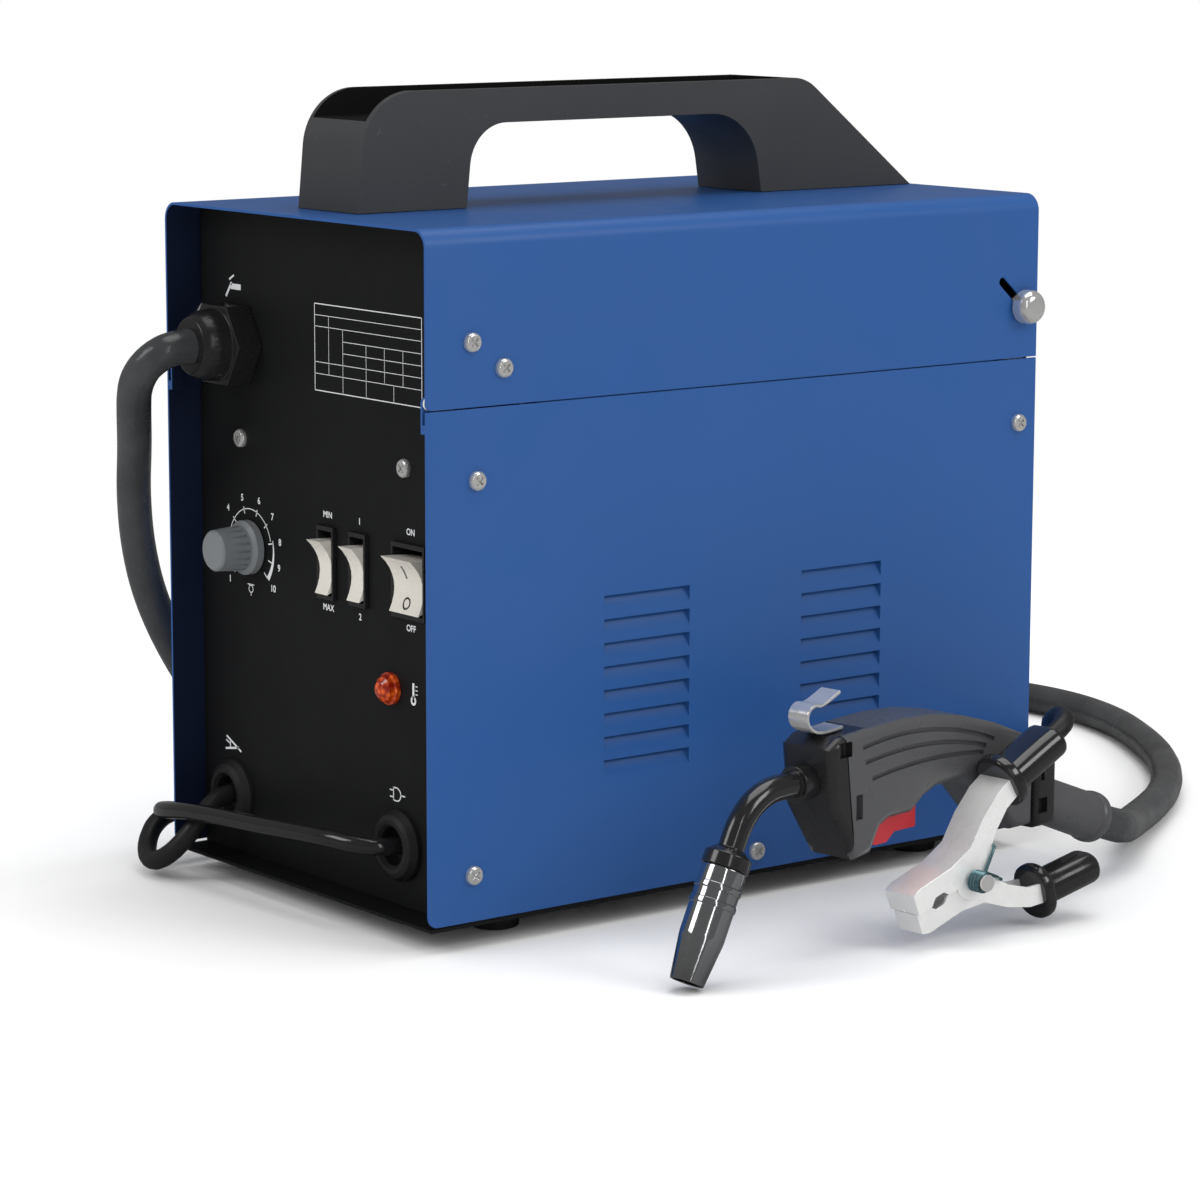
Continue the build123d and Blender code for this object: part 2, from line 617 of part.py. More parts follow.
def speed_knob():
    face = panel_y - 0.6
    profile = [(0, face), (KNOB_FLANGE, face), (KNOB_FLANGE, face - 3.5), (KNOB_RADIUS + 0.5, face - 5),
               (KNOB_RADIUS - 0.6, panel_y - KNOB_HEIGHT + 1), (KNOB_RADIUS - 1.6, panel_y - KNOB_HEIGHT),
               (0, panel_y - KNOB_HEIGHT)]
    knob = turned_y(profile, KNOB_X, KNOB_Z)
    for i in range(KNOB_RIBS):
        angle = 2 * pi * i / KNOB_RIBS
        x = KNOB_X + KNOB_RADIUS * 1.03 * cos(angle)
        z = KNOB_Z + KNOB_RADIUS * 1.03 * sin(angle)
        knob -= rod_y(x, face - 6, panel_y - KNOB_HEIGHT + 1.5, z, 0.7)
    return knob + rod_y(KNOB_X, face - 1, panel_back + 10, KNOB_Z, SHAFT_RADIUS)


def control_board():
    """The speed potentiometer behind the panel and the board that it is soldered to."""
    back = panel_back + 12
    pot = rod_y(KNOB_X, panel_back + PAINT_GAP, back, KNOB_Z, 8.5)
    pot -= rod_y(KNOB_X, panel_back - 1, panel_back + 10.5, KNOB_Z, SHAFT_RADIUS + RUNNING_CLEARANCE)
    board = box(-92, -8, back, back + 1.6, 122, 198)
    parts = [rod_y(-30, back + 1.6, back + 17, 180, 8), rod_y(-50, back + 1.6, back + 14, 182, 6)]
    parts.append(box(-86, -68, back + 1.6, back + 17, 130, 148))
    parts.append(box(-58, -30, back + 1.6, back + 6, 128, 136))
    return group(pot, board, *parts)


def thermal_lamp():
    profile = [(0, panel_y + 12), (LAMP_RADIUS - 0.6, panel_y + 12), (LAMP_RADIUS - 0.6, panel_y),
               (LAMP_RIM, panel_y), (LAMP_RIM, panel_y - 2), (LAMP_RADIUS, panel_y - 2.4),
               (LAMP_RADIUS - 0.6, panel_y - 4.6), (LAMP_RADIUS * 0.55, panel_y - 6.5),
               (0, panel_y - LAMP_PROUD)]
    return turned_y(profile, LAMP_X, LAMP_Z)


def hexagon(across_flats, y0, y1, x, z):
    face = RegularPolygon(across_flats / 2, 6, major_radius=False)
    return Pos(x, y1, z) * Rot(90, 0, 0) * extrude(face, y1 - y0)


def torch_gland():
    hex_end = panel_y - GLAND_HEX_LENGTH
    nose_y = panel_y - GLAND_LENGTH
    body = hexagon(GLAND_AF, hex_end, panel_y, GLAND_X, GLAND_Z)
    nose = [(0, hex_end), (GLAND_AF / 2 - 1.5, hex_end), (GLAND_AF / 2 - 2, nose_y + 7),
            (GLAND_AF / 2 - 3.5, nose_y + 3), (GLAND_NOSE, nose_y), (0, nose_y)]
    body += turned_y(nose, GLAND_X, GLAND_Z)
    body += rod_y(GLAND_X, panel_y, panel_back + 13, GLAND_Z, GLAND_THREAD)
    return body - rod_y(GLAND_X, nose_y - 1, panel_back + 14, GLAND_Z, GLAND_BORE)


def gland_nut():
    y0 = panel_back + PAINT_GAP
    nut = hexagon(GLAND_NUT_AF, y0, y0 + 6, GLAND_X, GLAND_Z)
    return nut - rod_y(GLAND_X, y0 - 1, y0 + 7, GLAND_Z, GLAND_THREAD + PAINT_GAP)


def grommet(x):
    """A round cable bush: a raised lip outside the panel and a web that the lead leaves from."""
    front = panel_y - GROMMET_PROUD
    profile = [(GROMMET_MOUTH, panel_y), (GROMMET_RADIUS, panel_y), (GROMMET_RADIUS, panel_y - 2),
               (GROMMET_RADIUS - 2, front + 1), (GROMMET_RADIUS - 4, front), (GROMMET_MOUTH + 1.5, front),
               (GROMMET_MOUTH, front + 1.5)]
    lip = turned_y(profile, x, GROMMET_Z)
    lip += rod_y(x, panel_y - 0.5, panel_back + 8, GROMMET_Z, GROMMET_THREAD)
    return lip - rod_y(x, panel_y - 1, panel_y + 1.6, GROMMET_Z, GROMMET_MOUTH)


# ---- inside pieces

def bulkhead():
    wall = box(BULKHEAD_X, BULKHEAD_X + COVER_SHEET, -130, 150, floor_z, BULKHEAD_TOP)
    wall += box(BULKHEAD_X, BULKHEAD_X + 13, -130, 150, floor_z, floor_z + COVER_SHEET)
    return wall - rod_x(BULKHEAD_X - 1, BULKHEAD_X + 2, FEED_Y, 225, 8)


def drive_z():
    return GLAND_Z - WIRE_SPACE / 2 - DRIVE_RADIUS


def drive_motor():
    """The gearbox on one side of the bulkhead and the motor on the other."""
    box_in = BULKHEAD_X - PAINT_GAP
    unit = box(GEARBOX_FACE, box_in, FEED_Y - 22, FEED_Y + 22, 205, GEARBOX_TOP)
    unit += rod_x(box_in - 1, BULKHEAD_X + 2, FEED_Y, 225, 7)
    unit += rod_x(BULKHEAD_X + COVER_SHEET + PAINT_GAP, 34, FEED_Y, 225, 18)
    y, z = ARM_PIVOT
    unit += box(-50.5, -42, y - 8, y + 4, GEARBOX_TOP - 1, z + 8)
    unit += rod_x(-60.5, -50, y, z, 2.5)
    bore = DRIVE_SHAFT + RUNNING_CLEARANCE
    return unit - rod_x(GEARBOX_FACE - 1, GEARBOX_FACE + 14, FEED_Y, drive_z(), bore)


def drive_roller():
    x0, x1 = GLAND_X - ROLLER_WIDTH / 2, GLAND_X + ROLLER_WIDTH / 2
    roller = rod_x(x0, x1, FEED_Y, drive_z(), DRIVE_RADIUS)
    roller += rod_x(x0 - 2, x0, FEED_Y, drive_z(), 6)
    return roller + rod_x(x1 - 1, GEARBOX_FACE + 13, FEED_Y, drive_z(), DRIVE_SHAFT)


def pressure_z():
    return GLAND_Z + WIRE_SPACE / 2 + PRESSURE_RADIUS


def pressure_arm():
    y, z = ARM_PIVOT
    arm = box(-59, -51, FEED_Y - 28, y + 4, GEARBOX_TOP + 2.5, z + 6)
    arm -= rod_x(-62, -50, y, z, 2.5 + RUNNING_CLEARANCE)
    x0, x1 = GLAND_X - ROLLER_WIDTH / 2, GLAND_X + ROLLER_WIDTH / 2
    arm += rod_x(x0 - 1, -58, FEED_Y, pressure_z(), PRESSURE_PIN)
    arm += rod_x(x0 - 2.5, x0 - 0.5, FEED_Y, pressure_z(), PRESSURE_PIN + 1.5)
    arm += rod_x(x1 + 0.5, -58.5, FEED_Y, pressure_z(), PRESSURE_PIN + 1.5)
    return arm - rod_z(-55, FEED_Y - 20, z - 20, z + 10, 3 + RUNNING_CLEARANCE)


def pressure_roller():
    x0, x1 = GLAND_X - ROLLER_WIDTH / 2, GLAND_X + ROLLER_WIDTH / 2
    roller = rod_x(x0, x1, FEED_Y, pressure_z(), PRESSURE_RADIUS)
    return roller - rod_x(x0 - 1, x1 + 1, FEED_Y, pressure_z(), PRESSURE_PIN + RUNNING_CLEARANCE)


def tension_knob():
    z = ARM_PIVOT[1] + 6.3
    knob = rod_z(-55, FEED_Y - 20, z, z + 5, 6)
    knob += rod_z(-55, FEED_Y - 20, z + 5, z + 17, 9)
    for i in range(10):
        angle = 2 * pi * i / 10
        knob -= rod_z(-55 + 9.4 * cos(angle), FEED_Y - 20 + 9.4 * sin(angle), z + 5.5, z + 18, 1.2)
    return knob + rod_z(-55, FEED_Y - 20, GEARBOX_TOP + 0.8, z + 1, 3)


def spool_axle():
    spool_in = GLAND_X + SPOOL_WIDTH / 2
    spool_out = GLAND_X - SPOOL_WIDTH / 2
    axle = rod_x(spool_out - 7, BULKHEAD_X - PAINT_GAP, SPOOL_Y, SPOOL_Z, AXLE_RADIUS)
    axle += rod_x(spool_in + 0.5, BULKHEAD_X - PAINT_GAP, SPOOL_Y, SPOOL_Z, 12)
    return axle + rod_x(BULKHEAD_X - 3, BULKHEAD_X - PAINT_GAP, SPOOL_Y, SPOOL_Z, 20)


def wire_spool():
    x0, x1 = GLAND_X - SPOOL_WIDTH / 2, GLAND_X + SPOOL_WIDTH / 2
    spool = rod_x(x0, x1, SPOOL_Y, SPOOL_Z, SPOOL_HUB)
    for a, b in ((x0, x0 + SPOOL_FLANGE), (x1 - SPOOL_FLANGE, x1)):
        spool += rod_x(a, b, SPOOL_Y, SPOOL_Z, SPOOL_RADIUS)
    for i in range(6):
        angle = 2 * pi * i / 6
        y, z = SPOOL_Y + 15 * cos(angle), SPOOL_Z + 15 * sin(angle)
        spool -= rod_x(x0 - 1, x1 + 1, y, z, 4)
    return spool - rod_x(x0 - 1, x1 + 1, SPOOL_Y, SPOOL_Z, AXLE_RADIUS + RUNNING_CLEARANCE)


def welding_wire():
    x0 = GLAND_X - SPOOL_WIDTH / 2 + SPOOL_FLANGE + PAINT_GAP
    x1 = GLAND_X + SPOOL_WIDTH / 2 - SPOOL_FLANGE - PAINT_GAP
    wound = rod_x(x0, x1, SPOOL_Y, SPOOL_Z, WOUND_RADIUS)
    return wound - rod_x(x0 - 1, x1 + 1, SPOOL_Y, SPOOL_Z, SPOOL_HUB + PAINT_GAP)


def spool_nut():
    x0 = GLAND_X - SPOOL_WIDTH / 2
    nut = rod_x(x0 - 5, x0 - 0.5, SPOOL_Y, SPOOL_Z, 13)
    nut += box(x0 - 8, x0 - 4, SPOOL_Y - 17, SPOOL_Y + 17, SPOOL_Z - 3, SPOOL_Z + 3)
    return nut - rod_x(x0 - 7.2, x0, SPOOL_Y, SPOOL_Z, AXLE_RADIUS + RUNNING_CLEARANCE)


def core_width():
    return 4 * CORE_LEG + 2 * CORE_WINDOW


def transformer_core():
    half, deep = core_width() / 2, CORE_STACK / 2
    height = 2 * CORE_LEG + 50
    core = box(CORE_X - half, CORE_X + half, CORE_Y - deep, CORE_Y + deep, CORE_BASE, CORE_BASE + height)
    for side in (-1, 1):
        x0, x1 = CORE_X + side * CORE_LEG, CORE_X + side * (CORE_LEG + CORE_WINDOW)
        core -= box(x0, x1, CORE_Y - deep - 1, CORE_Y + deep + 1, CORE_BASE + CORE_LEG,
                    CORE_BASE + CORE_LEG + 50)
        x0, x1 = CORE_X + side * (half - 14), CORE_X + side * half
        core += box(x0, x1, CORE_Y - deep - 8, CORE_Y + deep + 8, floor_z, CORE_BASE + 0.5)
    return core


def transformer_windings():
    outer = CORE_LEG + CORE_WINDOW - WINDING_GAP
    inner = CORE_LEG + WINDING_GAP
    deep = CORE_STACK / 2
    z0, z1 = CORE_BASE + CORE_LEG + WINDING_GAP, CORE_BASE + CORE_LEG + 50 - WINDING_GAP
    coil = box(CORE_X - outer, CORE_X + outer, CORE_Y - deep - 14, CORE_Y + deep + 14, z0, z1)
    return coil - box(CORE_X - inner, CORE_X + inner, CORE_Y - deep - WINDING_GAP,
                      CORE_Y + deep + WINDING_GAP, z0 - 1, z1 + 1)


def rectifier():
    x0, x1 = SINK_X - 35, SINK_X + 35
    sink = box(x0, x1, SINK_Y - 25, SINK_Y + 25, 40, 45)
    for i in range(10):
        x = x0 + 1.5 + i * (70 - 3) / 9
        sink += box(x - 1.2, x + 1.2, SINK_Y - 25, SINK_Y + 25, 44, 82)
    for y in (SINK_Y - 24, SINK_Y + 20):
        sink += box(x0, x1, y, y + 4, floor_z, 41)
    diodes = [rod_z(x, SINK_Y, 30, 40, 7) for x in (SINK_X - 24, SINK_X - 8, SINK_X + 8, SINK_X + 24)]
    return group(sink, *diodes)


def fan_frame():
    half = FAN_FRAME / 2
    y1 = rear_inner - PAINT_GAP
    y0 = y1 - FAN_DEPTH
    frame = box(FAN_X - half, FAN_X + half, y0, y1, FAN_Z - half, FAN_Z + half)
    frame -= rod_y(FAN_X, y0 - 1, y1 + 1, FAN_Z, FAN_DUCT)
    frame += rod_y(FAN_X, y0, y0 + 4, FAN_Z, 16)
    for i in range(3):
        strut = box(-2.5, 2.5, y0, y0 + 3, 12, FAN_DUCT + 1)
        frame += Pos(FAN_X, 0, FAN_Z) * Rot(0, 120 * i + 30, 0) * strut
    return frame + rod_y(FAN_X, y0 + 3, y0 + 16, FAN_Z, 2.5)


def fan_blades():
    y0 = rear_inner - PAINT_GAP - FAN_DEPTH + 5
    hub = rod_y(FAN_X, y0, y0 + 15, FAN_Z, 15)
    for i in range(FAN_BLADES):
        blade = Rot(0, 0, 32) * Box(14, 1.6, FAN_TIP - 14)
        blade = Pos(0, y0 + 7.5, 14 + (FAN_TIP - 14) / 2 - 0.4) * blade
        hub += Pos(FAN_X, 0, FAN_Z) * Rot(0, 360 / FAN_BLADES * i, 0) * blade
    return hub - rod_y(FAN_X, y0 - 1, y0 + 11.5, FAN_Z, 2.5 + RUNNING_CLEARANCE)


# ---- torch

def torch_place():
    run_x, run_y = TORCH_REAR[0] - TORCH_TIP[0], TORCH_REAR[1] - TORCH_TIP[1]
    return Pos(TORCH_TIP[0], TORCH_TIP[1], 0) * Rot(0, 0, degrees(atan2(run_y, run_x)))


HOUSING = [
    (73, 93), (80, 97), (100, 98.5), (125, 99.5), (145, 98.5), (165, 95), (188, 88.5), (214, 78.5),
    (214, 38), (200, 38), (190, 48), (178, 60), (165, 67), (146, 66), (138, 63), (129, 57), (114.5, 57),
    (108, 54), (102, 43.5), (92, 42), (76, 66),
]


def torch_plate(points, y0, y1):
    """A flat outline of (along, up) points in the torch's own frame, from y0 to y1 across."""
    return plate_y(points, y0, y1)


def torch_shell(side):
    """One half of the torch handle; side 1 is the half nearer the case."""
    edge0, edge1 = sorted((side * SPLIT_GAP, side * TORCH_HALF))
    shell = torch_plate(HOUSING, edge0, edge1)
    rims = shell.faces().sort_by(Axis.Y)[-1 if side > 0 else 0].edges()
    shell = chamfer(rims, 2.5)
    inside = offset(outline(HOUSING), -TORCH_WALL, kind=Kind.INTERSECTION)
    cavity = Plane(origin=(0, 0, 0), x_dir=(1, 0, 0), z_dir=(0, -1, 0)) * inside
    cavity = extrude(cavity, TORCH_HALF - TORCH_WALL, both=True)
    shell -= cavity
    boss0, boss1 = sorted((side * (TRIGGER_HALF + 0.6), side * (TORCH_HALF - TORCH_WALL + 0.2)))
    s, z = TRIGGER_PIVOT
    shell += box(s - 4, s + 4, boss0, boss1, z - 4, z + 4)
    shell -= rod_y(s, boss0 - side, boss1 - side, z, TRIGGER_PIN + RUNNING_CLEARANCE)
    slot = TRIGGER_HALF + 0.5
    shell -= box(s - 4.3, s + 33, -slot, slot, 38, 68)
    # The mouth that grips the collar of the neck.
    neck = rod_x(60, 90, 0, neck_top(), NECK_RADIUS + 2.25 + PAINT_GAP)
    return shell - neck


def neck_top():
    """The height of the neck's straight upper run."""
    return 77.5


def nozzle_point(t):
    """A point t along the nozzle's axis from its mouth."""
    lift = NOZZLE_MOUTH * NOZZLE_AXIS[0]
    return (NOZZLE_AXIS[0] * t, 0, lift + NOZZLE_AXIS[1] * t)


def turned_on_nozzle(points):
    """An (radius, t) outline turned about the nozzle's axis."""
    face = Plane.XZ * outline(points)
    solid = revolve(face, Axis.Z, 360)
    lean = degrees(atan2(NOZZLE_AXIS[0], NOZZLE_AXIS[1]))
    return Pos(*nozzle_point(0)) * Rot(0, lean, 0) * solid


def torch_nozzle():
    r, wall, top = NOZZLE_RADIUS, NOZZLE_WALL, NOZZLE_LENGTH
    outer = [(NOZZLE_MOUTH, 0), (r, 20), (r, 33), (r + 0.5, 33.5), (r + 0.5, 35.5), (r, 36), (r, 40),
             (r + 0.5, 40.5), (r + 0.5, 42.5), (r, 43), (r, top)]
    inner = [(r - wall, top), (r - wall, 20), (NOZZLE_MOUTH - wall, 0)]
    return turned_on_nozzle(outer + inner)


def torch_neck():
    """The curved swan neck, with the seat that the nozzle slides on and the collar at the handle."""
    start = nozzle_point(NOZZLE_LENGTH + 1)
    rise = neck_top() - start[2]
    corner = (start[0] + rise * NOZZLE_AXIS[0] / NOZZLE_AXIS[1], 0, neck_top())
    path = FilletPolyline(start, corner, (94, 0, neck_top()), radius=NECK_BEND)
    lean = Plane(origin=start, z_dir=(NOZZLE_AXIS[0], 0, NOZZLE_AXIS[1]))
    neck = sweep(lean * Circle(NECK_RADIUS), path=path)
    seat_r = NOZZLE_RADIUS - NOZZLE_WALL - PAINT_GAP
    seat = [(0, 34), (seat_r, 34), (seat_r, NOZZLE_LENGTH + 0.3), (NOZZLE_RADIUS + 0.6, NOZZLE_LENGTH + 0.3),
            (NOZZLE_RADIUS + 0.6, NOZZLE_LENGTH + 6), (NECK_RADIUS + 1, NOZZLE_LENGTH + 9),
            (0, NOZZLE_LENGTH + 9)]
    neck += turned_on_nozzle(seat)
    return neck + rod_x(66, 88, 0, neck_top(), NECK_RADIUS + 2.25)


def contact_tip():
    tip = [(0, 6), (TIP_RADIUS - 1, 6), (TIP_RADIUS, 9), (TIP_RADIUS, 26), (TIP_RADIUS + 2, 26.5),
           (TIP_RADIUS + 2, 34 - PAINT_GAP), (0, 34 - PAINT_GAP)]
    return turned_on_nozzle(tip)


def strip(points, thickness, half_width):
    """A bent strip that follows (along, up) points in the torch's own frame."""
    bent = None
    for (s0, z0), (s1, z1) in zip(points, points[1:]):
        reach = hypot(s1 - s0, z1 - z0)
        ns, nz = -(z1 - z0) / reach * thickness / 2, (s1 - s0) / reach * thickness / 2
        web = [(s0 + ns, z0 + nz), (s1 + ns, z1 + nz), (s1 - ns, z1 - nz), (s0 - ns, z0 - nz)]
        piece = plate_y(web, -half_width, half_width) + rod_y(s1, -half_width, half_width, z1, thickness / 2)
        bent = piece if bent is None else bent + piece
    return bent


def torch_hook():
    return strip([(92, 99.3), (79, 98.4), (73, 100), (69, 104), (69.5, 109), (74, 111.5), (78, 110),
                  (90, 115)], 1.3, 5.5)


def torch_trigger():
    s, z = TRIGGER_PIVOT
    lever = plate_y([(s - 3.2, 66.5), (s - 3.2, 48), (s + 2.5, 44), (s + 10.5, 44), (s + 16, 48),
                     (s + 30, 48), (s + 30, 62)],
                    -TRIGGER_HALF, TRIGGER_HALF)
    return lever + rod_y(s, -TRIGGER_HALF - 2.4, TRIGGER_HALF + 2.4, z, TRIGGER_PIN)


def torch_sleeve():
    """The collar that closes the rear of the handle and the tapered sleeve that holds the hose."""
    collar = box(214.2, SLEEVE_START[0], -TORCH_HALF - 1, TORCH_HALF + 1, 36.5, 74)
    collar = chamfer(collar.edges().filter_by(Axis.X), 4)
    run_s, run_z = SLEEVE_END[0] - SLEEVE_START[0], SLEEVE_END[1] - SLEEVE_START[1]
    length = hypot(run_s, run_z)
    profile = [(0, -6), (10.5, -6), (11, length - 5), (12, length - 4.5), (12, length - 1), (11, length),
               (0, length)]
    sleeve = revolve(Plane.XZ * outline(profile), Axis.Z, 360)
    sleeve = Pos(SLEEVE_START[0], 0, SLEEVE_START[1]) * Rot(0, 90 - degrees(atan2(run_z, run_s)), 0) * sleeve
    return collar + sleeve


# ---- earth clamp

def clamp_place():
    return Pos(*CLAMP_PIN) * Rot(0, 0, 90) * Rot(0, -CLAMP_TILT, 0) * Rot(-CLAMP_LEAN, 0, 0)


ARM_OUTER = [(-33, 9.5), (-29, JAW_HALF), (-9, JAW_HALF), (4, 14), (15, 22.5), (27, 29), (42, 33), (66, 36.2)]
ARM_INNER = [(66, 27.2), (42, 24), (29, 20), (19, 13), (11, 4), (9.5, 0)]
JAW_EDGE = [(-8, 0.15), (-14, 0.15), (-17, 3), (-22, 3), (-25, 0.15), (-33, 0.15)]


def clamp_half(half_width):
    """A pressed channel: two cheeks about the pin, joined along their outer edge."""
    side = ARM_OUTER + ARM_INNER + JAW_EDGE
    cheeks = plate_y(side, -half_width, half_width) + rod_y(0, -half_width, half_width, 0, PIVOT_DISC)
    hollow_top = [(a, b - CLAMP_SHEET) for a, b in ARM_OUTER]
    hollow_top[0] = (ARM_OUTER[0][0] + CLAMP_SHEET, ARM_OUTER[0][1] - CLAMP_SHEET)
    hollow_top[-1] = (ARM_OUTER[-1][0] + 1, ARM_OUTER[-1][1] - CLAMP_SHEET)
    hollow = hollow_top + [(67, 20), (20, -12), (-12, -12), (ARM_OUTER[0][0] + CLAMP_SHEET, -12)]
    inner = half_width - CLAMP_SHEET
    cheeks -= plate_y(hollow, -inner, inner)
    return cheeks - rod_y(0, -20, 20, 0, PIN_RADIUS + RUNNING_CLEARANCE)


def arm_sleeve(half_width):
    """The dipped grip over the end of an arm, with a thick ring at its mouth."""
    lean = degrees(atan2(3.5, 26.0))
    centre = Pos(54.5, 0, 30.2) * Rot(0, -lean, 0)
    grip = Box(GRIP_LENGTH, 2 * half_width + 3, GRIP_HEIGHT)
    grip = fillet(grip.edges().filter_by(Axis.X), GRIP_HEIGHT / 2 - 1)
    grip = fillet(grip.faces().sort_by(Axis.X)[-1].edges(), 2)
    ring = Box(GRIP_RING, 2 * half_width + 7, 25)
    ring = fillet(ring.edges().filter_by(Axis.X), 9)
    ring = fillet(ring.faces().filter_by(Axis.X).edges(), 2)
    grip = centre * (grip + Pos(-GRIP_LENGTH / 2, 0, 0) * ring)
    side = offset(outline(ARM_OUTER + ARM_INNER + JAW_EDGE), GRIP_PLAY, kind=Kind.INTERSECTION)
    arm = Plane(origin=(0, 0, 0), x_dir=(1, 0, 0), z_dir=(0, -1, 0)) * side
    return grip - extrude(arm, half_width + GRIP_PLAY, both=True)


def lower(shape):
    """The same shape on the lower side of the clamp."""
    return mirror(shape, Plane.XY)


def spring_reach():
    """How far the spring stands out from its cheek."""
    return 2 * SPRING_WIRE * SPRING_TURNS + 0.3


def clamp_pin():
    """The pivot pin, with a flat head on the far side and a small one beyond the spring."""
    near = -UPPER_HALF - spring_reach()
    pin = rod_y(0, near - 0.9, UPPER_HALF + 1.8, 0, PIN_RADIUS)
    pin += rod_y(0, near - 1.2, near - 0.2, 0, PIN_RADIUS + 0.7)
    return pin + rod_y(0, UPPER_HALF + 0.3, UPPER_HALF + 2.0, 0, PIN_RADIUS + 2.5)


def clamp_spring():
    """The turns of the spring, round the pin outside the outer cheek."""
    turns = None
    for i in range(SPRING_TURNS):
        y = -UPPER_HALF - 0.25 - SPRING_WIRE - i * 2 * SPRING_WIRE * 0.995
        turn = Pos(0, y, 0) * Rot(90, 0, 0) * Torus(SPRING_RADIUS, SPRING_WIRE)
        turns = turn if turns is None else turns + turn
    return turns


# ---- leads

def tube(route, diameter, name):
    """A round tube along straight runs joined by the largest arcs that the runs allow."""
    points = [Vector(*p) for p in route]
    runs = [b - a for a, b in zip(points, points[1:])]
    radii = []
    for a, b in zip(runs, runs[1:]):
        turn = radians(a.get_angle(b))
        radii.append(0.45 * min(a.length, b.length) / tan(turn / 2))
    path = FilletPolyline(*points, radius=radii)
    section = Plane(origin=points[0], z_dir=runs[0]) * Circle(diameter / 2)
    solid = sweep(section, path=path)
    ideal = pi * (diameter / 2)**2 * path.length
    print(f"{name}: length {path.length:.0f} mm, least radius {min(radii):.0f} mm,",
          f"volume over section times length {solid.volume / ideal:.4f}")
    return solid


def mains_coil():
    x, y = COIL_CENTRE
    reach = COIL_WIDE * MAINS_DIAMETER / 2
    ring = rod_z(x, y, 0, COIL_HIGH * MAINS_DIAMETER, COIL_RADIUS + reach)
    return ring - rod_z(x, y, -1, COIL_HIGH * MAINS_DIAMETER + 1, COIL_RADIUS - reach)


def mains_plug():
    half = PLUG_WIDTH / 2
    y0, y1 = PLUG_Y, PLUG_Y + PLUG_LENGTH
    body = box(PLUG_X - half, PLUG_X + half, y0, y1, 0, PLUG_THICKNESS)
    return fillet(body.edges().filter_by(Axis.Z), PLUG_CORNER)


def plug_pins():
    """Two flat pins across the plug, and a longer one along it for the earth."""
    live_y = PLUG_Y + PIN_SETBACK
    earth_y = live_y + PIN_SPACING
    half_long, half_thin = PIN_LONG / 2, PIN_THIN / 2
    pins = []
    for x in (PLUG_X - PIN_SPACING / 2, PLUG_X + PIN_SPACING / 2):
        pins.append(box(x - half_long, x + half_long, live_y - half_thin, live_y + half_thin,
                        PLUG_THICKNESS, PLUG_THICKNESS + PIN_LENGTH))
    pins.append(box(PLUG_X - half_thin, PLUG_X + half_thin, earth_y - half_long, earth_y + half_long,
                    PLUG_THICKNESS, PLUG_THICKNESS + PIN_LENGTH + 4))
    return group(*pins)


def main():
    os.makedirs("parts", exist_ok=True)
    save("base_pan", base_pan())
    save("front_panel", front_panel())
    save("rear_panel", rear_panel())
    right = right_side_panel()
    save("right_side_panel", right)
    save("left_side_panel", mirrored(right))
    save("lid", lid())
    arm = hinge_arm()
    save("lid_hinge_arms", group(arm, mirrored(arm)))
    save("latch_knob", latch_knob())
    save("latch_catch", latch_catch())
    save("carry_handle", carry_handle())
    save("rubber_feet", group(*[rubber_foot(x, y) for x, y in feet]))
    save("chassis_screws", chassis_screws())
    save("lid_screws", lid_screws())

    save("torch_gland", torch_gland())
    save("gland_nut", gland_nut())
    save("speed_knob", speed_knob())
    save("control_board", control_board())
    save("rocker_min_max", rocker(NARROW_SWITCHES[0], NARROW_HALF))
    save("rocker_one_two", rocker(NARROW_SWITCHES[1], NARROW_HALF))
    save("narrow_switch_bodies", group(*[switch_body(x, NARROW_HALF) for x in NARROW_SWITCHES]))
    save("rocker_power", rocker(POWER_SWITCH_X, POWER_HALF))
    save("power_switch_body", switch_body(POWER_SWITCH_X, POWER_HALF))
    save("thermal_lamp", thermal_lamp())
    save("cable_grommets", group(grommet(EARTH_X), grommet(MAINS_X)))

    save("bulkhead", bulkhead())
    save("drive_motor", drive_motor())
    save("drive_roller", drive_roller())
    save("pressure_arm", pressure_arm())
    save("pressure_roller", pressure_roller())
    save("tension_knob", tension_knob())
    save("spool_axle", spool_axle())
    save("wire_spool", wire_spool())
    save("welding_wire", welding_wire())
    save("spool_nut", spool_nut())
    save("transformer_core", transformer_core())
    save("transformer_windings", transformer_windings())
    save("rectifier", rectifier())
    save("fan_frame", fan_frame())
    save("fan_blades", fan_blades())

    torch = torch_place()
    save("torch_shell_left", torch * torch_shell(1))
    save("torch_shell_right", torch * torch_shell(-1))
    save("torch_trigger", torch * torch_trigger())
    save("torch_neck", torch * torch_neck())
    save("torch_nozzle", torch * torch_nozzle())
    save("contact_tip", torch * contact_tip())
    save("torch_hook", torch * torch_hook())
    save("torch_sleeve", torch * torch_sleeve())

    clamp = clamp_place()
    save("clamp_upper_jaw", clamp * clamp_half(UPPER_HALF))
    save("clamp_lower_jaw", clamp * lower(clamp_half(LOWER_HALF)))
    save("clamp_upper_grip", clamp * arm_sleeve(UPPER_HALF))
    save("clamp_lower_grip", clamp * lower(arm_sleeve(LOWER_HALF)))
    save("clamp_pin", clamp * clamp_pin())
    save("clamp_spring", clamp * clamp_spring())

    save("torch_hose", tube(HOSE_ROUTE, HOSE_DIAMETER, "torch hose"))
    save("earth_cable", tube(EARTH_ROUTE, EARTH_DIAMETER, "earth cable"))
    lead = tube(MAINS_ROUTE, MAINS_DIAMETER, "mains lead to its coil")
    save("mains_cable", group(lead, tube(PLUG_ROUTE, MAINS_DIAMETER, "mains lead to its plug")))
    save("mains_coil", mains_coil())
    save("mains_plug", mains_plug())
    save("plug_pins", plug_pins())


main()
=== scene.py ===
import json
import math

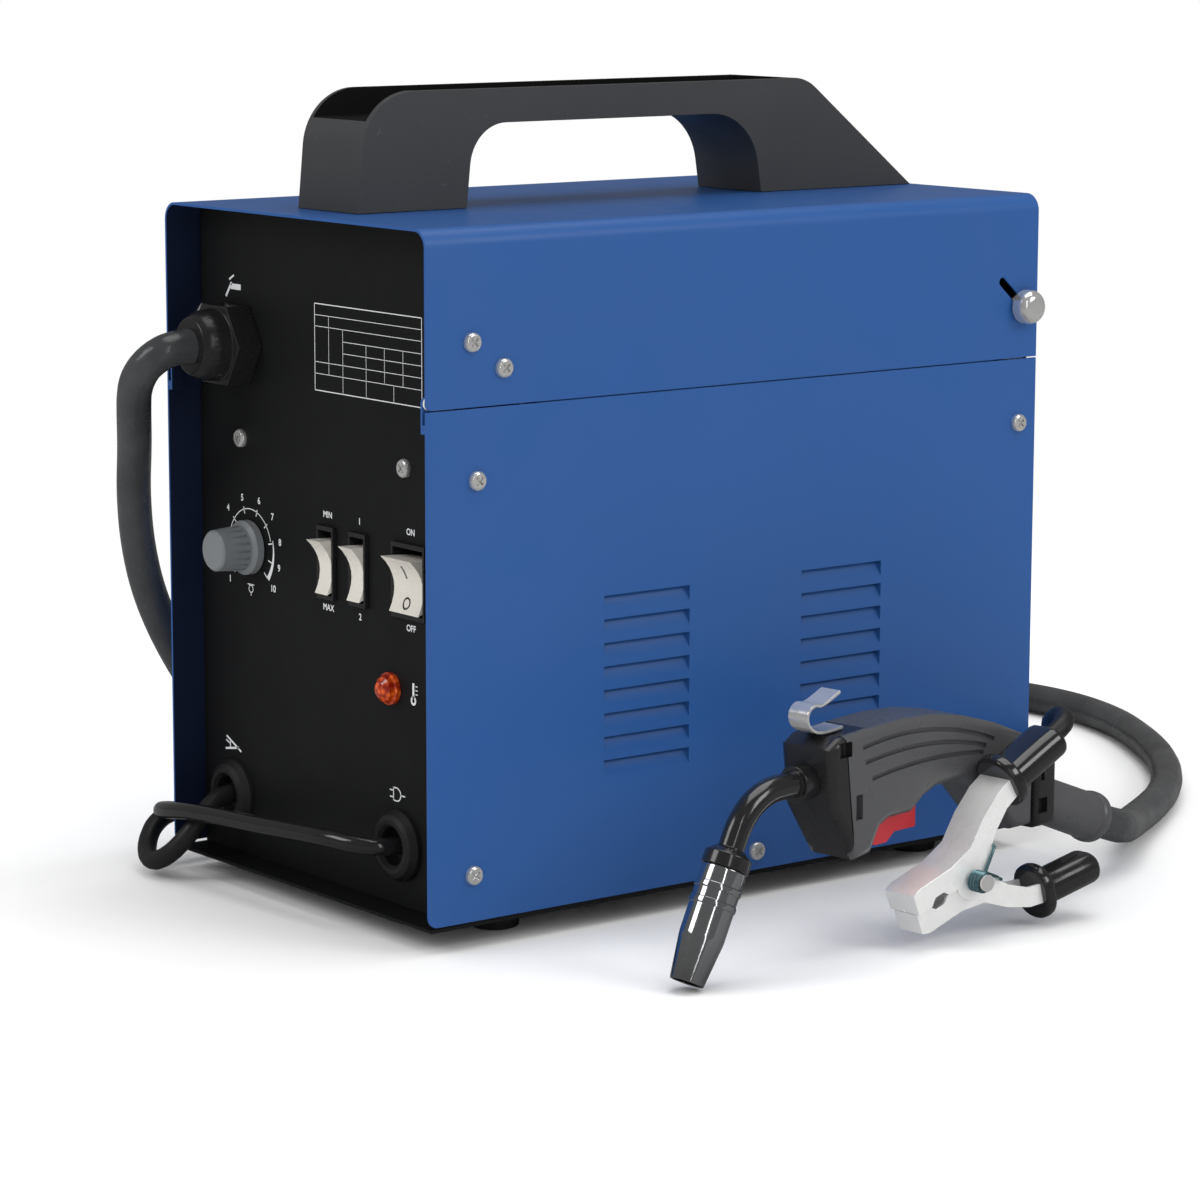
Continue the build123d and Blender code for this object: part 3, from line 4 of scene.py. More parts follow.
import bmesh
import bpy
from mathutils import Matrix, Vector
from mathutils.bvhtree import BVHTree

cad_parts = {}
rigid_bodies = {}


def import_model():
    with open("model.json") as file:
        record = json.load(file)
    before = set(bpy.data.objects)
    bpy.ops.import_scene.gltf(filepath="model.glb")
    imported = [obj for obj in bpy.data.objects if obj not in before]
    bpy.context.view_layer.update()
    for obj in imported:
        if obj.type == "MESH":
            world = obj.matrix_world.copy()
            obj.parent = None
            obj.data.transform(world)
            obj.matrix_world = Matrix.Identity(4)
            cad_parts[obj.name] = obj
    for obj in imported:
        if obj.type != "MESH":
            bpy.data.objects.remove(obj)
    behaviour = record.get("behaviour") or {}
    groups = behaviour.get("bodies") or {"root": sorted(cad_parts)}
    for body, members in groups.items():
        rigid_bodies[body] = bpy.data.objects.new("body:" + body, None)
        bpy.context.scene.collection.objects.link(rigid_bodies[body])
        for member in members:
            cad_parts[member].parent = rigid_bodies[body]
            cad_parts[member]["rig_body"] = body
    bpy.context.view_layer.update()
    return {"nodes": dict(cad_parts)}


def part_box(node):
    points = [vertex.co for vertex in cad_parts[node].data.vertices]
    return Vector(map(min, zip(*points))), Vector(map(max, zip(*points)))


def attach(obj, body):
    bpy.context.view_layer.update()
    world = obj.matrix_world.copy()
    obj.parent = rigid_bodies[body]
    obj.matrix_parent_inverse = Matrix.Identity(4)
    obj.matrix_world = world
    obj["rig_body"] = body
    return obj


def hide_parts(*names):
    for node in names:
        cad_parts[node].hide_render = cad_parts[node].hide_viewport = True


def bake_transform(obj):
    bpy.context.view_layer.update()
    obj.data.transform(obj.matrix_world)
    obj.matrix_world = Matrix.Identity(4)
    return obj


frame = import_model()
nodes = frame["nodes"]
print("frame loaded:", len(nodes), "nodes")


def addToScene(name, data):
    piece = bpy.data.objects.new(name, data)
    bpy.context.scene.collection.objects.link(piece)
    return piece


def objectFrom(bm, name):
    mesh = bpy.data.meshes.new(name)
    bm.to_mesh(mesh)
    bm.free()
    return addToScene(name, mesh)


# camera
viewPoint = {
    "place": (1.4821, -1.1512, 0.4467),
    "azimuth": 52.994,
    "elevation": 9.714,
    "lens": 121.5,
    "shiftX": 0.043,
    "shiftY": -0.004,
    "clip": (0.05, 60),
}


def makeCamera(look):
    azimuth = math.radians(look["azimuth"])
    elevation = math.radians(look["elevation"])
    level = math.cos(elevation)
    back = Vector((math.sin(azimuth) * level, -math.cos(azimuth) * level, math.sin(elevation)))
    camera = addToScene("camera", bpy.data.cameras.new("camera"))
    camera.data.lens = look["lens"]
    camera.data.shift_x = look["shiftX"]
    camera.data.shift_y = look["shiftY"]
    camera.data.clip_start, camera.data.clip_end = look["clip"]
    camera.rotation_euler = back.to_track_quat("Z", "Y").to_euler()
    camera.location = look["place"]
    bpy.context.scene.camera = camera


makeCamera(viewPoint)
print("camera placed")

# leads: the routes are in millimetres, a smooth spline runs near their points
hose = {"diameter": 0.016, "length": 1.26, "route": [
    (-69, -185, 249), (-69, -193.3, 249), (-71.5, -200.5, 245.7), (-76.6, -205, 239.8),
    (-84.4, -205, 230.5), (-95, -199, 217.5), (-108, -191, 200), (-120, -185, 177),
    (-127, -179, 151), (-130, -171, 125), (-132, -157, 98), (-137, -137, 71), (-144, -111, 45),
    (-153, -78, 24),
    (-164, -38, 11), (-178, 8, 8), (-195, 58, 8), (-212, 110, 8), (-225, 164, 8), (-231, 220, 8),
    (-229, 276, 8), (-216, 330, 8), (-191, 374, 8), (-152, 401, 8), (-104, 406, 8), (-56, 394, 8),
    (-12, 371, 8), (28, 344, 8), (62, 314, 8), (89, 283, 8), (110, 253, 9),
    (128, 226, 11), (145, 203, 14), (160, 185, 18), (169.74, 166.82, 22.95), (172.04, 151.1, 29)]}

earthLead = {"diameter": 0.009, "length": 1.16, "route": [
    (-76, -157.4, 38.5), (-76, -167.5, 38.5), (-74, -177.5, 32), (-74, -186, 22.5), (-80.5, -192, 13),
    (-91, -194, 7.5), (-102.5, -191.5, 7.5), (-112, -185.5, 12.5), (-118.5, -177, 19),
    (-122.5, -164, 22.5), (-125, -147, 20), (-127, -124, 12), (-130, -96, 6), (-134, -60, 4.5),
    (-140, -15, 4.5), (-148, 34, 4.5), (-158, 84, 4.5), (-168, 136, 4.5), (-177, 188, 4.5),
    (-183, 240, 4.5), (-186, 290, 4.5), (-184, 334, 4.5), (-172, 368, 4.5), (-146, 384, 4.5),
    (-116, 372, 4.5), (-88, 346, 4.5), (-60, 318, 4.5), (-31, 292, 5), (-1, 266, 8), (30, 243, 16),
    (62, 221, 29), (94, 198, 44), (126, 170, 56), (153, 143, 68), (175, 120.5, 78), (190, 108, 84),
    (202, 100, 88.5), (210.3, 95.1, 89.1), (214.8, 89.2, 86.77), (214.84, 82.13, 82.99)],
    "bendStart": (0.150, 0.1, 0.07), "bendEnd": (0.206, 0.1, 0.07)}

mainsLead = {"diameter": 0.008, "length": 1.97, "route": [
    (58, -157.4, 38.5), (58, -168, 38.5), (49, -177, 39.5), (34, -182.5, 41), (12, -184.5, 40),
    (-16, -186, 38), (-46, -187.5, 36.5), (-71, -188.5, 34.5), (-91, -187.5, 31),
    (-105.5, -182.5, 28), (-112.5, -171, 25.5), (-113, -154, 21), (-113, -130, 12),
    (-112.5, -101, 5), (-113, -64, 4), (-112, -14, 4), (-113, 40, 4), (-115, 92, 4),
    (-119, 142, 4), (-124, 190, 4), (-126, 232, 4)],
    "plugRoute": [(-119, 256, 12), (-124, 270, 12), (-133, 283, 12.5), (-142, 297, 12.5),
                  (-142, 312, 12.5)],
    "coilCentre": (-74, 241), "turnPoints": 14, "bottomTurns": (52, 44, 36), "topTurns": (36, 46, 44),
    "coilFloor": 4, "climb": 8, "climbStart": 2.6, "climbTurns": 0.4}


# a flat spiral in on the floor, then out again on top of it
def coilPoints(lead):
    cx, cy = lead["coilCentre"]
    radii = lead["bottomTurns"] + lead["topTurns"]
    points = []
    for i in range((len(radii) - 1) * lead["turnPoints"]):
        turn = i / lead["turnPoints"]
        start, end = radii[int(turn)], radii[int(turn) + 1]
        r = start + (end - start) * (turn - int(turn))
        rise = min(max((turn - lead["climbStart"]) / lead["climbTurns"], 0), 1)
        angle = math.pi - turn * 2 * math.pi
        points.append((cx + r * math.cos(angle), cy + r * math.sin(angle),
                       lead["coilFloor"] + lead["climb"] * rise))
    return points


def leadCurve(name, points, diameter):
    curve = bpy.data.curves.new(name, "CURVE")
    curve.dimensions = "3D"
    spline = curve.splines.new("NURBS")
    spline.points.add(len(points) - 1)
    for knot, place in zip(spline.points, points):
        knot.co = (*[c / 1000 for c in place], 1)
    spline.order_u = 3
    spline.use_endpoint_u = True
    spline.resolution_u = 8
    curve.bevel_depth = diameter / 2
    curve.bevel_resolution = 6
    curve.use_fill_caps = True
    return addToScene(name, curve)


def meshOf(piece):
    bpy.context.view_layer.update()
    evaluated = piece.evaluated_get(bpy.context.evaluated_depsgraph_get())
    return bpy.data.meshes.new_from_object(evaluated)


def centreline(name, points):
    thread = leadCurve(name + "Line", points, 0)
    mesh = meshOf(thread)
    line = [v.co.copy() for v in mesh.vertices]
    bpy.data.objects.remove(thread)
    bpy.data.meshes.remove(mesh)
    return line


def tubeFromCurve(name, points, diameter):
    curve = leadCurve(name + "Curve", points, diameter)
    piece = addToScene(name, meshOf(curve))
    piece.data.shade_smooth()
    bpy.data.objects.remove(curve)
    return piece


hosePiece = leadCurve("torchHose", hose["route"], hose["diameter"])
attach(hosePiece, "root")
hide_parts("torch_hose")

earthPiece = tubeFromCurve("earthLead", earthLead["route"], earthLead["diameter"])
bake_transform(earthPiece)
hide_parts("earth_cable")
centreline("earthLead", earthLead["route"])

mainsPoints = mainsLead["route"] + coilPoints(mainsLead) + mainsLead["plugRoute"]
mainsPiece = leadCurve("mainsLead", mainsPoints, mainsLead["diameter"])
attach(mainsPiece, "root")
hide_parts("mains_cable", "mains_coil")
print("leads routed")


# every finish starts here: its tree, its shader and the object's own coordinates
def startFinish(name):
    finish = bpy.data.materials.new(name)
    finish.use_nodes = True
    tree = finish.node_tree
    place = tree.nodes.new("ShaderNodeTexCoord")
    return finish, tree, tree.nodes["Principled BSDF"], place.outputs["Object"]


def noiseOf(tree, place, scale, detail=3.0, rough=0.5):
    noise = tree.nodes.new("ShaderNodeTexNoise")
    noise.inputs["Scale"].default_value = scale
    noise.inputs["Detail"].default_value = detail
    noise.inputs["Roughness"].default_value = rough
    tree.links.new(place, noise.inputs["Vector"])
    return noise.outputs["Fac"]


def rangeOf(tree, value, low, high, fromLow=0.3, fromHigh=0.7):
    remap = tree.nodes.new("ShaderNodeMapRange")
    remap.inputs["From Min"].default_value = fromLow
    remap.inputs["From Max"].default_value = fromHigh
    remap.inputs["To Min"].default_value = low
    remap.inputs["To Max"].default_value = high
    tree.links.new(value, remap.inputs["Value"])
    return remap.outputs["Result"]


# blends two colours; each is a colour or an output
def mixOf(tree, factor, first, second):
    mix = tree.nodes.new("ShaderNodeMix")
    mix.data_type = "RGBA"
    tree.links.new(factor, mix.inputs["Factor"])
    for socket, colour in ((mix.inputs[6], first), (mix.inputs[7], second)):
        if isinstance(colour, tuple):
            socket.default_value = (*colour, 1)
        else:
            tree.links.new(colour, socket)
    return mix.outputs[2]


def bumpOf(tree, height, strength, distance, under=None):
    bump = tree.nodes.new("ShaderNodeBump")
    bump.inputs["Strength"].default_value = strength
    bump.inputs["Distance"].default_value = distance
    tree.links.new(height, bump.inputs["Height"])
    if under:
        tree.links.new(under, bump.inputs["Normal"])
    return bump.outputs["Normal"]


# colour and tint are the two shades that drift into each other, grain is the fine surface
finishLooks = {
    "coverPaint": {"colour": (0.0180, 0.083, 0.275), "tint": (0.0205, 0.091, 0.298), "drift": 7,
                   "rough": (0.32, 0.42), "grain": 1500, "depth": 0.00003, "gloss": 0.35},
    "shadePaint": {"colour": (0.0060, 0.0100, 0.0300), "tint": (0.0080, 0.0140, 0.0380), "drift": 7,
                   "rough": (0.40, 0.50), "grain": 1500, "depth": 0.00003, "gloss": 0.20},
    "panelPaint": {"colour": (0.0068, 0.0072, 0.0078), "tint": (0.0098, 0.0102, 0.0110), "drift": 14,
                   "rough": (0.42, 0.54), "grain": 2100, "depth": 0.00005, "gloss": 0.18},
    "handlePlastic": {"colour": (0.040, 0.041, 0.043), "tint": (0.050, 0.051, 0.053), "drift": 22,
                      "rough": (0.44, 0.56), "grain": 1900, "depth": 0.00012, "gloss": 0.4},
    # painted shade: a near-black paint for the faces inside the handle's trough
    "troughShadePaint": {"colour": (0.0040, 0.0040, 0.0045), "tint": (0.0060, 0.0060, 0.0065), "drift": 22,
                    "rough": (0.60, 0.70), "grain": 700, "depth": 0.00003, "gloss": 0.10},
    "blackPlastic": {"colour": (0.010, 0.010, 0.011), "tint": (0.016, 0.016, 0.017), "drift": 40,
                     "rough": (0.20, 0.32), "grain": 2400, "depth": 0.00004},
    "torchPlastic": {"colour": (0.058, 0.059, 0.062), "tint": (0.078, 0.079, 0.083), "drift": 50,
                     "rough": (0.26, 0.36), "grain": 2000, "depth": 0.00009, "gloss": 0.7},
    "torchBlack": {"colour": (0.012, 0.012, 0.013), "tint": (0.018, 0.018, 0.019), "drift": 50,
                   "rough": (0.24, 0.36), "grain": 2000, "depth": 0.00008},
    "knobPlastic": {"colour": (0.155, 0.167, 0.176), "tint": (0.185, 0.197, 0.206), "drift": 60,
                    "rough": (0.38, 0.50), "grain": 2600, "depth": 0.00005},
    "rockerPlastic": {"colour": (0.66, 0.63, 0.57), "tint": (0.69, 0.66, 0.60), "drift": 30,
                      "rough": (0.24, 0.34), "grain": 2600, "depth": 0.00002},
    "triggerPlastic": {"colour": (0.42, 0.012, 0.022), "tint": (0.50, 0.020, 0.030), "drift": 60,
                       "rough": (0.26, 0.38), "grain": 2400, "depth": 0.00004},
    "blackRubber": {"colour": (0.009, 0.009, 0.010), "tint": (0.015, 0.015, 0.016), "drift": 45,
                    "rough": (0.34, 0.50), "grain": 1700, "depth": 0.00008, "gloss": 0.4},
    "glossVinyl": {"colour": (0.008, 0.008, 0.009), "tint": (0.014, 0.014, 0.015), "drift": 55,
                   "rough": (0.10, 0.20), "grain": 900, "depth": 0.00005, "coat": 0.5},
    "castAlloy": {"colour": (0.52, 0.53, 0.54), "tint": (0.40, 0.41, 0.43), "drift": 60,
                  "rough": (0.38, 0.52), "grain": 1600, "depth": 0.00008, "metal": 1.0},
    "brass": {"colour": (0.66, 0.46, 0.17), "tint": (0.56, 0.37, 0.13), "drift": 80,
              "rough": (0.22, 0.36), "grain": 1800, "depth": 0.00003, "metal": 1.0},
    "copper": {"colour": (0.72, 0.33, 0.18), "tint": (0.55, 0.23, 0.12), "drift": 90,
               "rough": (0.26, 0.42), "grain": 1800, "depth": 0.00003, "metal": 1.0},
    "nickel": {"colour": (0.84, 0.83, 0.81), "tint": (0.74, 0.74, 0.73), "drift": 120,
               "rough": (0.12, 0.24), "grain": 1500, "depth": 0.00003, "metal": 0.75},
    "bluedSteel": {"colour": (0.10, 0.22, 0.26), "tint": (0.22, 0.36, 0.38), "drift": 300,
                   "rough": (0.22, 0.36), "grain": 2200, "depth": 0.00003, "metal": 1.0},
    "coreSteel": {"colour": (0.10, 0.10, 0.105), "tint": (0.16, 0.15, 0.15), "drift": 40,
                  "rough": (0.42, 0.60), "grain": 1400, "depth": 0.00008, "metal": 0.8},
    "boardGreen": {"colour": (0.012, 0.110, 0.045), "tint": (0.018, 0.140, 0.060), "drift": 120,
                   "rough": (0.28, 0.40), "grain": 1200, "depth": 0.00004},
    "printWhite": {"colour": (0.74, 0.75, 0.76), "tint": (0.62, 0.63, 0.65), "drift": 400,
                   "rough": (0.45, 0.60), "grain": 2600, "depth": 0.00001},
    "markBlack": {"colour": (0.015, 0.015, 0.016), "tint": (0.03, 0.03, 0.032), "drift": 400,
                  "rough": (0.45, 0.60), "grain": 2600, "depth": 0.00001},
}


# two drifting shades, patchy gloss and a fine grain in relief
def plainFinish(name):
    look = finishLooks[name]
    finish, tree, shader, place = startFinish(name)
    drift = noiseOf(tree, place, look["drift"], 4)
    tree.links.new(mixOf(tree, drift, look["colour"], look["tint"]), shader.inputs["Base Color"])
    smudge = noiseOf(tree, place, look["drift"] * 2.3, 5, 0.6)
    tree.links.new(rangeOf(tree, smudge, *look["rough"]), shader.inputs["Roughness"])
    grain = noiseOf(tree, place, look["grain"], 2)
    tree.links.new(bumpOf(tree, grain, 0.6, look["depth"]), shader.inputs["Normal"])
    shader.inputs["Metallic"].default_value = look.get("metal", 0.0)
    shader.inputs["Specular IOR Level"].default_value = look.get("gloss", 0.5)
    if "coat" in look:
        shader.inputs["Coat Weight"].default_value = look["coat"]
        shader.inputs["Coat Roughness"].default_value = 0.12
    return finish


# small scuffs that show another colour through the finish
def addWear(finish, colour, scale, reach):
    tree = finish.node_tree
    shader = tree.nodes["Principled BSDF"]
    place = tree.nodes["Texture Coordinate"].outputs["Object"]
    base = shader.inputs["Base Color"].links[0].from_socket
    spots = rangeOf(tree, noiseOf(tree, place, scale, 6, 0.7), 0, 1, reach, reach + 0.05)
    tree.links.new(mixOf(tree, spots, base, colour), shader.inputs["Base Color"])


def cellsOf(tree, place, scale):
    cells = tree.nodes.new("ShaderNodeTexVoronoi")
    cells.inputs["Scale"].default_value = scale
    tree.links.new(place, cells.inputs["Vector"])
    return cells.outputs


# bright zinc plate: faint crystal patches and soft dents
zincLook = {"colour": (0.90, 0.90, 0.89), "tint": (0.94, 0.94, 0.93), "crystals": 260, "haze": 48,
            "rough": (0.18, 0.30), "dents": 40, "dentDepth": 0.0010, "grain": 1500, "depth": 0.00002,
            "metal": 0.35}


def zincFinish(look):
    finish, tree, shader, place = startFinish("zincPlate")
    patch = rangeOf(tree, cellsOf(tree, place, look["crystals"])["Color"], 0, 1, 0.2, 0.8)
    tree.links.new(mixOf(tree, patch, look["colour"], look["tint"]), shader.inputs["Base Color"])
    haze = noiseOf(tree, place, look["haze"], 3)
    tree.links.new(rangeOf(tree, haze, *look["rough"]), shader.inputs["Roughness"])
    dents = bumpOf(tree, noiseOf(tree, place, look["dents"], 0), 0.15, look["dentDepth"])
    grain = noiseOf(tree, place, look["grain"], 2)
    tree.links.new(bumpOf(tree, grain, 0.25, look["depth"], dents), shader.inputs["Normal"])
    shader.inputs["Metallic"].default_value = look["metal"]
    return finish


# plated nozzle, a little blued and sooted towards its mouth
chromeLook = {"colour": (0.50, 0.51, 0.52), "soot": (0.12, 0.11, 0.10), "sootMost": 0.75,
              "sootReach": 0.022, "haze": 150, "hazeDepth": 0.0002, "smears": 500,
              "rough": (0.05, 0.15)}


def chromeFinish(look):
    finish, tree, shader, place = startFinish("nozzleChrome")
    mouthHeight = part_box("torch_nozzle")[0].z
    axes = tree.nodes.new("ShaderNodeSeparateXYZ")
    tree.links.new(place, axes.inputs[0])
    mouth = rangeOf(tree, axes.outputs["Z"], look["sootMost"], 0.0,
                    mouthHeight, mouthHeight + look["sootReach"])
    haze = noiseOf(tree, place, look["haze"], 5, 0.65)
    soot = tree.nodes.new("ShaderNodeMath")
    soot.operation = "MULTIPLY"
    tree.links.new(mouth, soot.inputs[0])
    tree.links.new(haze, soot.inputs[1])
    tree.links.new(mixOf(tree, soot.outputs[0], look["colour"], look["soot"]),
                   shader.inputs["Base Color"])
    smears = noiseOf(tree, place, look["smears"], 4)
    tree.links.new(rangeOf(tree, smears, *look["rough"]), shader.inputs["Roughness"])
    tree.links.new(bumpOf(tree, haze, 0.15, look["hazeDepth"]), shader.inputs["Normal"])
    shader.inputs["Metallic"].default_value = 1.0
    return finish


# clear orange lens with a dark core and cut facets
lampLook = {"bright": (0.70, 0.105, 0.010), "dark": (0.22, 0.008, 0.002), "facets": 380,
            "facetDepth": 0.0005, "glow": 0.12, "rough": 0.08, "coat": 0.8, "coatRough": 0.03}


def lampFinish(look):
    finish, tree, shader, place = startFinish("lampLens")
    facets = cellsOf(tree, place, look["facets"])["Distance"]
    colour = mixOf(tree, rangeOf(tree, facets, 0, 1, 0.1, 0.7), look["bright"], look["dark"])
    tree.links.new(colour, shader.inputs["Base Color"])
    tree.links.new(colour, shader.inputs["Emission Color"])
    shader.inputs["Emission Strength"].default_value = look["glow"]
    shader.inputs["Roughness"].default_value = look["rough"]
    shader.inputs["Coat Weight"].default_value = look["coat"]
    shader.inputs["Coat Roughness"].default_value = look["coatRough"]
    tree.links.new(bumpOf(tree, facets, 0.5, look["facetDepth"]), shader.inputs["Normal"])
    return finish


# turns of wire side by side, seen as fine grooves across the winding, with painted shade darkening
# each groove; pitch in metres
woundLooks = {
    "woundWire": {"colour": (0.50, 0.46, 0.40), "tint": (0.20, 0.18, 0.15), "pitch": 0.0009,
                  "across": "X"},
    "woundCopper": {"colour": (0.60, 0.24, 0.11), "tint": (0.22, 0.07, 0.03), "pitch": 0.0016,
                    "across": "Z"},
}


def woundFinish(name, look):
    finish, tree, shader, place = startFinish(name)
    turns = tree.nodes.new("ShaderNodeTexWave")
    turns.bands_direction = look["across"]
    turns.inputs["Scale"].default_value = 1 / look["pitch"] * 0.314  # a band is 2 pi / 20 of a unit
    turns.inputs["Distortion"].default_value = 0.4
    tree.links.new(place, turns.inputs["Vector"])
    tree.links.new(mixOf(tree, turns.outputs["Fac"], look["tint"], look["colour"]),
                   shader.inputs["Base Color"])
    tree.links.new(rangeOf(tree, noiseOf(tree, place, 300), 0.28, 0.44), shader.inputs["Roughness"])
    tree.links.new(bumpOf(tree, turns.outputs["Fac"], 0.8, look["pitch"] / 2),
                   shader.inputs["Normal"])
    shader.inputs["Metallic"].default_value = 0.9
    return finish


# semi-gloss rubber hose: soft ripples and a dusty bloom
hoseLook = {"colour": (0.036, 0.037, 0.039), "tint": (0.064, 0.066, 0.069), "bloom": 26,
            "smears": 60, "rough": (0.18, 0.30), "ripples": 55, "rippleDepth": 0.0022,
            "grain": 1600, "depth": 0.00004}


def hoseFinish(look):
    finish, tree, shader, place = startFinish("hoseRubber")
    bloom = rangeOf(tree, noiseOf(tree, place, look["bloom"], 6, 0.6), 0, 1)
    tree.links.new(mixOf(tree, bloom, look["colour"], look["tint"]), shader.inputs["Base Color"])
    smears = noiseOf(tree, place, look["smears"], 5)
    tree.links.new(rangeOf(tree, smears, *look["rough"]), shader.inputs["Roughness"])
    ripples = bumpOf(tree, noiseOf(tree, place, look["ripples"], 4), 0.6, look["rippleDepth"])
    grain = noiseOf(tree, place, look["grain"], 2)
    tree.links.new(bumpOf(tree, grain, 0.4, look["depth"], ripples), shader.inputs["Normal"])
    return finish


finishes = {name: plainFinish(name) for name in finishLooks}
addWear(finishes["handlePlastic"], (0.075, 0.076, 0.078), 160, 0.66)
addWear(finishes["panelPaint"], (0.030, 0.030, 0.031), 240, 0.68)
finishes["zincPlate"] = zincFinish(zincLook)
finishes["nozzleChrome"] = chromeFinish(chromeLook)
finishes["lampLens"] = lampFinish(lampLook)
finishes["hoseRubber"] = hoseFinish(hoseLook)
for name, look in woundLooks.items():
    finishes[name] = woundFinish(name, look)
print("finishes mixed:", len(finishes))

cadFinishes = {
    "coverPaint": ["left_side_panel", "right_side_panel", "lid"],
    "panelPaint": ["front_panel", "rear_panel", "base_pan"],
    "zincPlate": ["bulkhead", "latch_catch", "lid_hinge_arms", "gland_nut", "clamp_upper_jaw",
                  "clamp_lower_jaw", "spool_nut"],
    "nickel": ["chassis_screws", "lid_screws", "latch_knob", "torch_hook", "clamp_pin",
               "drive_roller", "pressure_roller"],
    "bluedSteel": ["clamp_spring"],
    "handlePlastic": ["carry_handle"],
    "blackPlastic": ["torch_gland", "narrow_switch_bodies", "power_switch_body", "fan_frame",
                     "fan_blades", "wire_spool", "tension_knob"],
    "torchPlastic": ["torch_shell_left", "torch_shell_right", "torch_sleeve"],
    "knobPlastic": ["speed_knob"],
    "rockerPlastic": ["rocker_min_max", "rocker_one_two", "rocker_power"],
    "lampLens": ["thermal_lamp"],
    "triggerPlastic": ["torch_trigger"],
    "blackRubber": ["rubber_feet", "cable_grommets", "mains_plug"],
    "glossVinyl": ["clamp_upper_grip", "clamp_lower_grip", "torch_neck"],
    "brass": ["plug_pins"],
    "copper": ["contact_tip"],
    "woundCopper": ["transformer_windings"],
    "woundWire": ["welding_wire"],
    "nozzleChrome": ["torch_nozzle"],
    "coreSteel": ["transformer_core"],
    "castAlloy": ["rectifier", "drive_motor", "pressure_arm", "spool_axle"],
    "boardGreen": ["control_board"],
}
finishOf = {node: finish for finish, members in cadFinishes.items() for node in members}
for node, finish in finishOf.items():
    nodes[node].data.materials.clear()
    nodes[node].data.materials.append(finishes[finish])
for lead, finish in ((hosePiece, "hoseRubber"), (earthPiece, "blackRubber"),
                     (mainsPiece, "glossVinyl")):
    lead.data.materials.append(finishes[finish])
print("finishes given to the CAD nodes")

# eased edges: width in metres, and how sharp an edge has to be, in degrees; on the handle and
# the gland a wider one crosses its neighbour on the narrow rim
easedEdges = {
    "lid": (0.0004, 40), "right_side_panel": (0.0004, 40), "left_side_panel": (0.0004, 40),
    "front_panel": (0.0003, 40), "rear_panel": (0.0003, 40), "base_pan": (0.0003, 40),
    "carry_handle": (0.00034, 30), "torch_gland": (0.0006, 25), "speed_knob": (0.00025, 40),
    "rocker_min_max": (0.0004, 30), "rocker_one_two": (0.0004, 30), "rocker_power": (0.0005, 30),
    "narrow_switch_bodies": (0.0003, 40), "power_switch_body": (0.0003, 40),
    "latch_knob": (0.0005, 40), "torch_trigger": (0.0006, 30), "torch_neck": (0.0004, 40),
    "clamp_upper_jaw": (0.0005, 40), "clamp_lower_jaw": (0.0005, 40), "mains_plug": (0.0020, 40),
    "plug_pins": (0.0006, 40), "rubber_feet": (0.0006, 40),
}


def camelName(node):
    words = node.split("_")
    return words[0] + "".join(w.title() for w in words[1:])


def smoothOver(piece, sharp):
    piece.data.shade_smooth()
    piece.data.set_sharp_from_angle(angle=math.radians(sharp))
    flat = piece.modifiers.new("flat faces", "WEIGHTED_NORMAL")
    flat.keep_sharp = True


def pieceFrom(bm, name, finish, body, standsFor=(), sharp=38):
    piece = objectFrom(bm, name)
    piece.data.materials.append(finishes[finish])
    smoothOver(piece, sharp)
    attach(piece, body)
    if standsFor:
        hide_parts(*standsFor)
    return piece


def easedCopy(node, width, sharp):
    bm = bmesh.new()
    bm.from_mesh(nodes[node].data)
    bmesh.ops.remove_doubles(bm, verts=bm.verts, dist=2e-6)
    bmesh.ops.dissolve_limit(bm, angle_limit=math.radians(0.6), verts=bm.verts, edges=bm.edges)
    corners = [e for e in bm.edges
               if len(e.link_faces) == 2 and e.calc_face_angle() > math.radians(sharp)]
    bmesh.ops.bevel(bm, geom=corners, offset=width, offset_type="OFFSET", affect="EDGES",
                    segments=2, profile=0.5, material=-1, clamp_overlap=True)
    return pieceFrom(bm, camelName(node) + "Eased", finishOf[node], nodes[node]["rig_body"],
                     [node])


# the faces picked by their middle and their direction take a second finish
def repaint(piece, finish, chosen):
    piece.data.materials.append(finishes[finish])
    for face in piece.data.polygons:
        if chosen(face.center, face.normal):
            face.material_index = len(piece.data.materials) - 1


eased = {node: easedCopy(node, *how) for node, how in easedEdges.items()}
# the faces inside the handle's trough take a near-black paint as painted shade
handleLow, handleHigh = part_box("carry_handle")
trough = {"wall": 0.0026, "foot": handleHigh.z - 0.0135}
repaint(eased["carry_handle"], "troughShadePaint",
        lambda at, way: at.z > trough["foot"]
        and handleLow.x + trough["wall"] < at.x < handleHigh.x - trough["wall"])

# sheet faces that look into the case, sideways or down, are in shade
shaded = {"panels": ("left_side_panel", "right_side_panel", "lid"), "inwards": -0.07,
          "down": -0.7, "downAbove": 0.3}
for node in shaded["panels"]:
    repaint(eased[node], "shadePaint",
            lambda at, way: at.x * way.x < shaded["inwards"]
            or (way.z < shaded["down"] and at.z > shaded["downAbove"]))
print("edges eased:", len(eased))


# a closed prism between two distances across, its rim rounded at the ends that are asked for
def addPrism(bm, outline, low, high, place, rimAt=(), width=0, segments=4):
    near, far = ([bm.verts.new((s / 1000, y / 1000, z / 1000)) for s, z in outline]
                 for y in (low, high))
    count = len(outline)
    faces = [bm.faces.new([near[i], near[(i + 1) % count], far[(i + 1) % count], far[i]])
             for i in range(count)]
    caps = {low: bm.faces.new(near), high: bm.faces.new(far)}
    faces += list(caps.values())
    bmesh.ops.recalc_face_normals(bm, faces=faces)
    rims = [e for y in rimAt for e in caps[y].edges]
    before = set(bm.verts) - {*near, *far}
    if rims:
        bmesh.ops.bevel(bm, geom=rims, offset=width / 1000, offset_type="OFFSET", affect="EDGES",
                        segments=segments, profile=0.5, material=-1, clamp_overlap=True)
    bmesh.ops.transform(bm, matrix=place, verts=[v for v in bm.verts if v not in before])


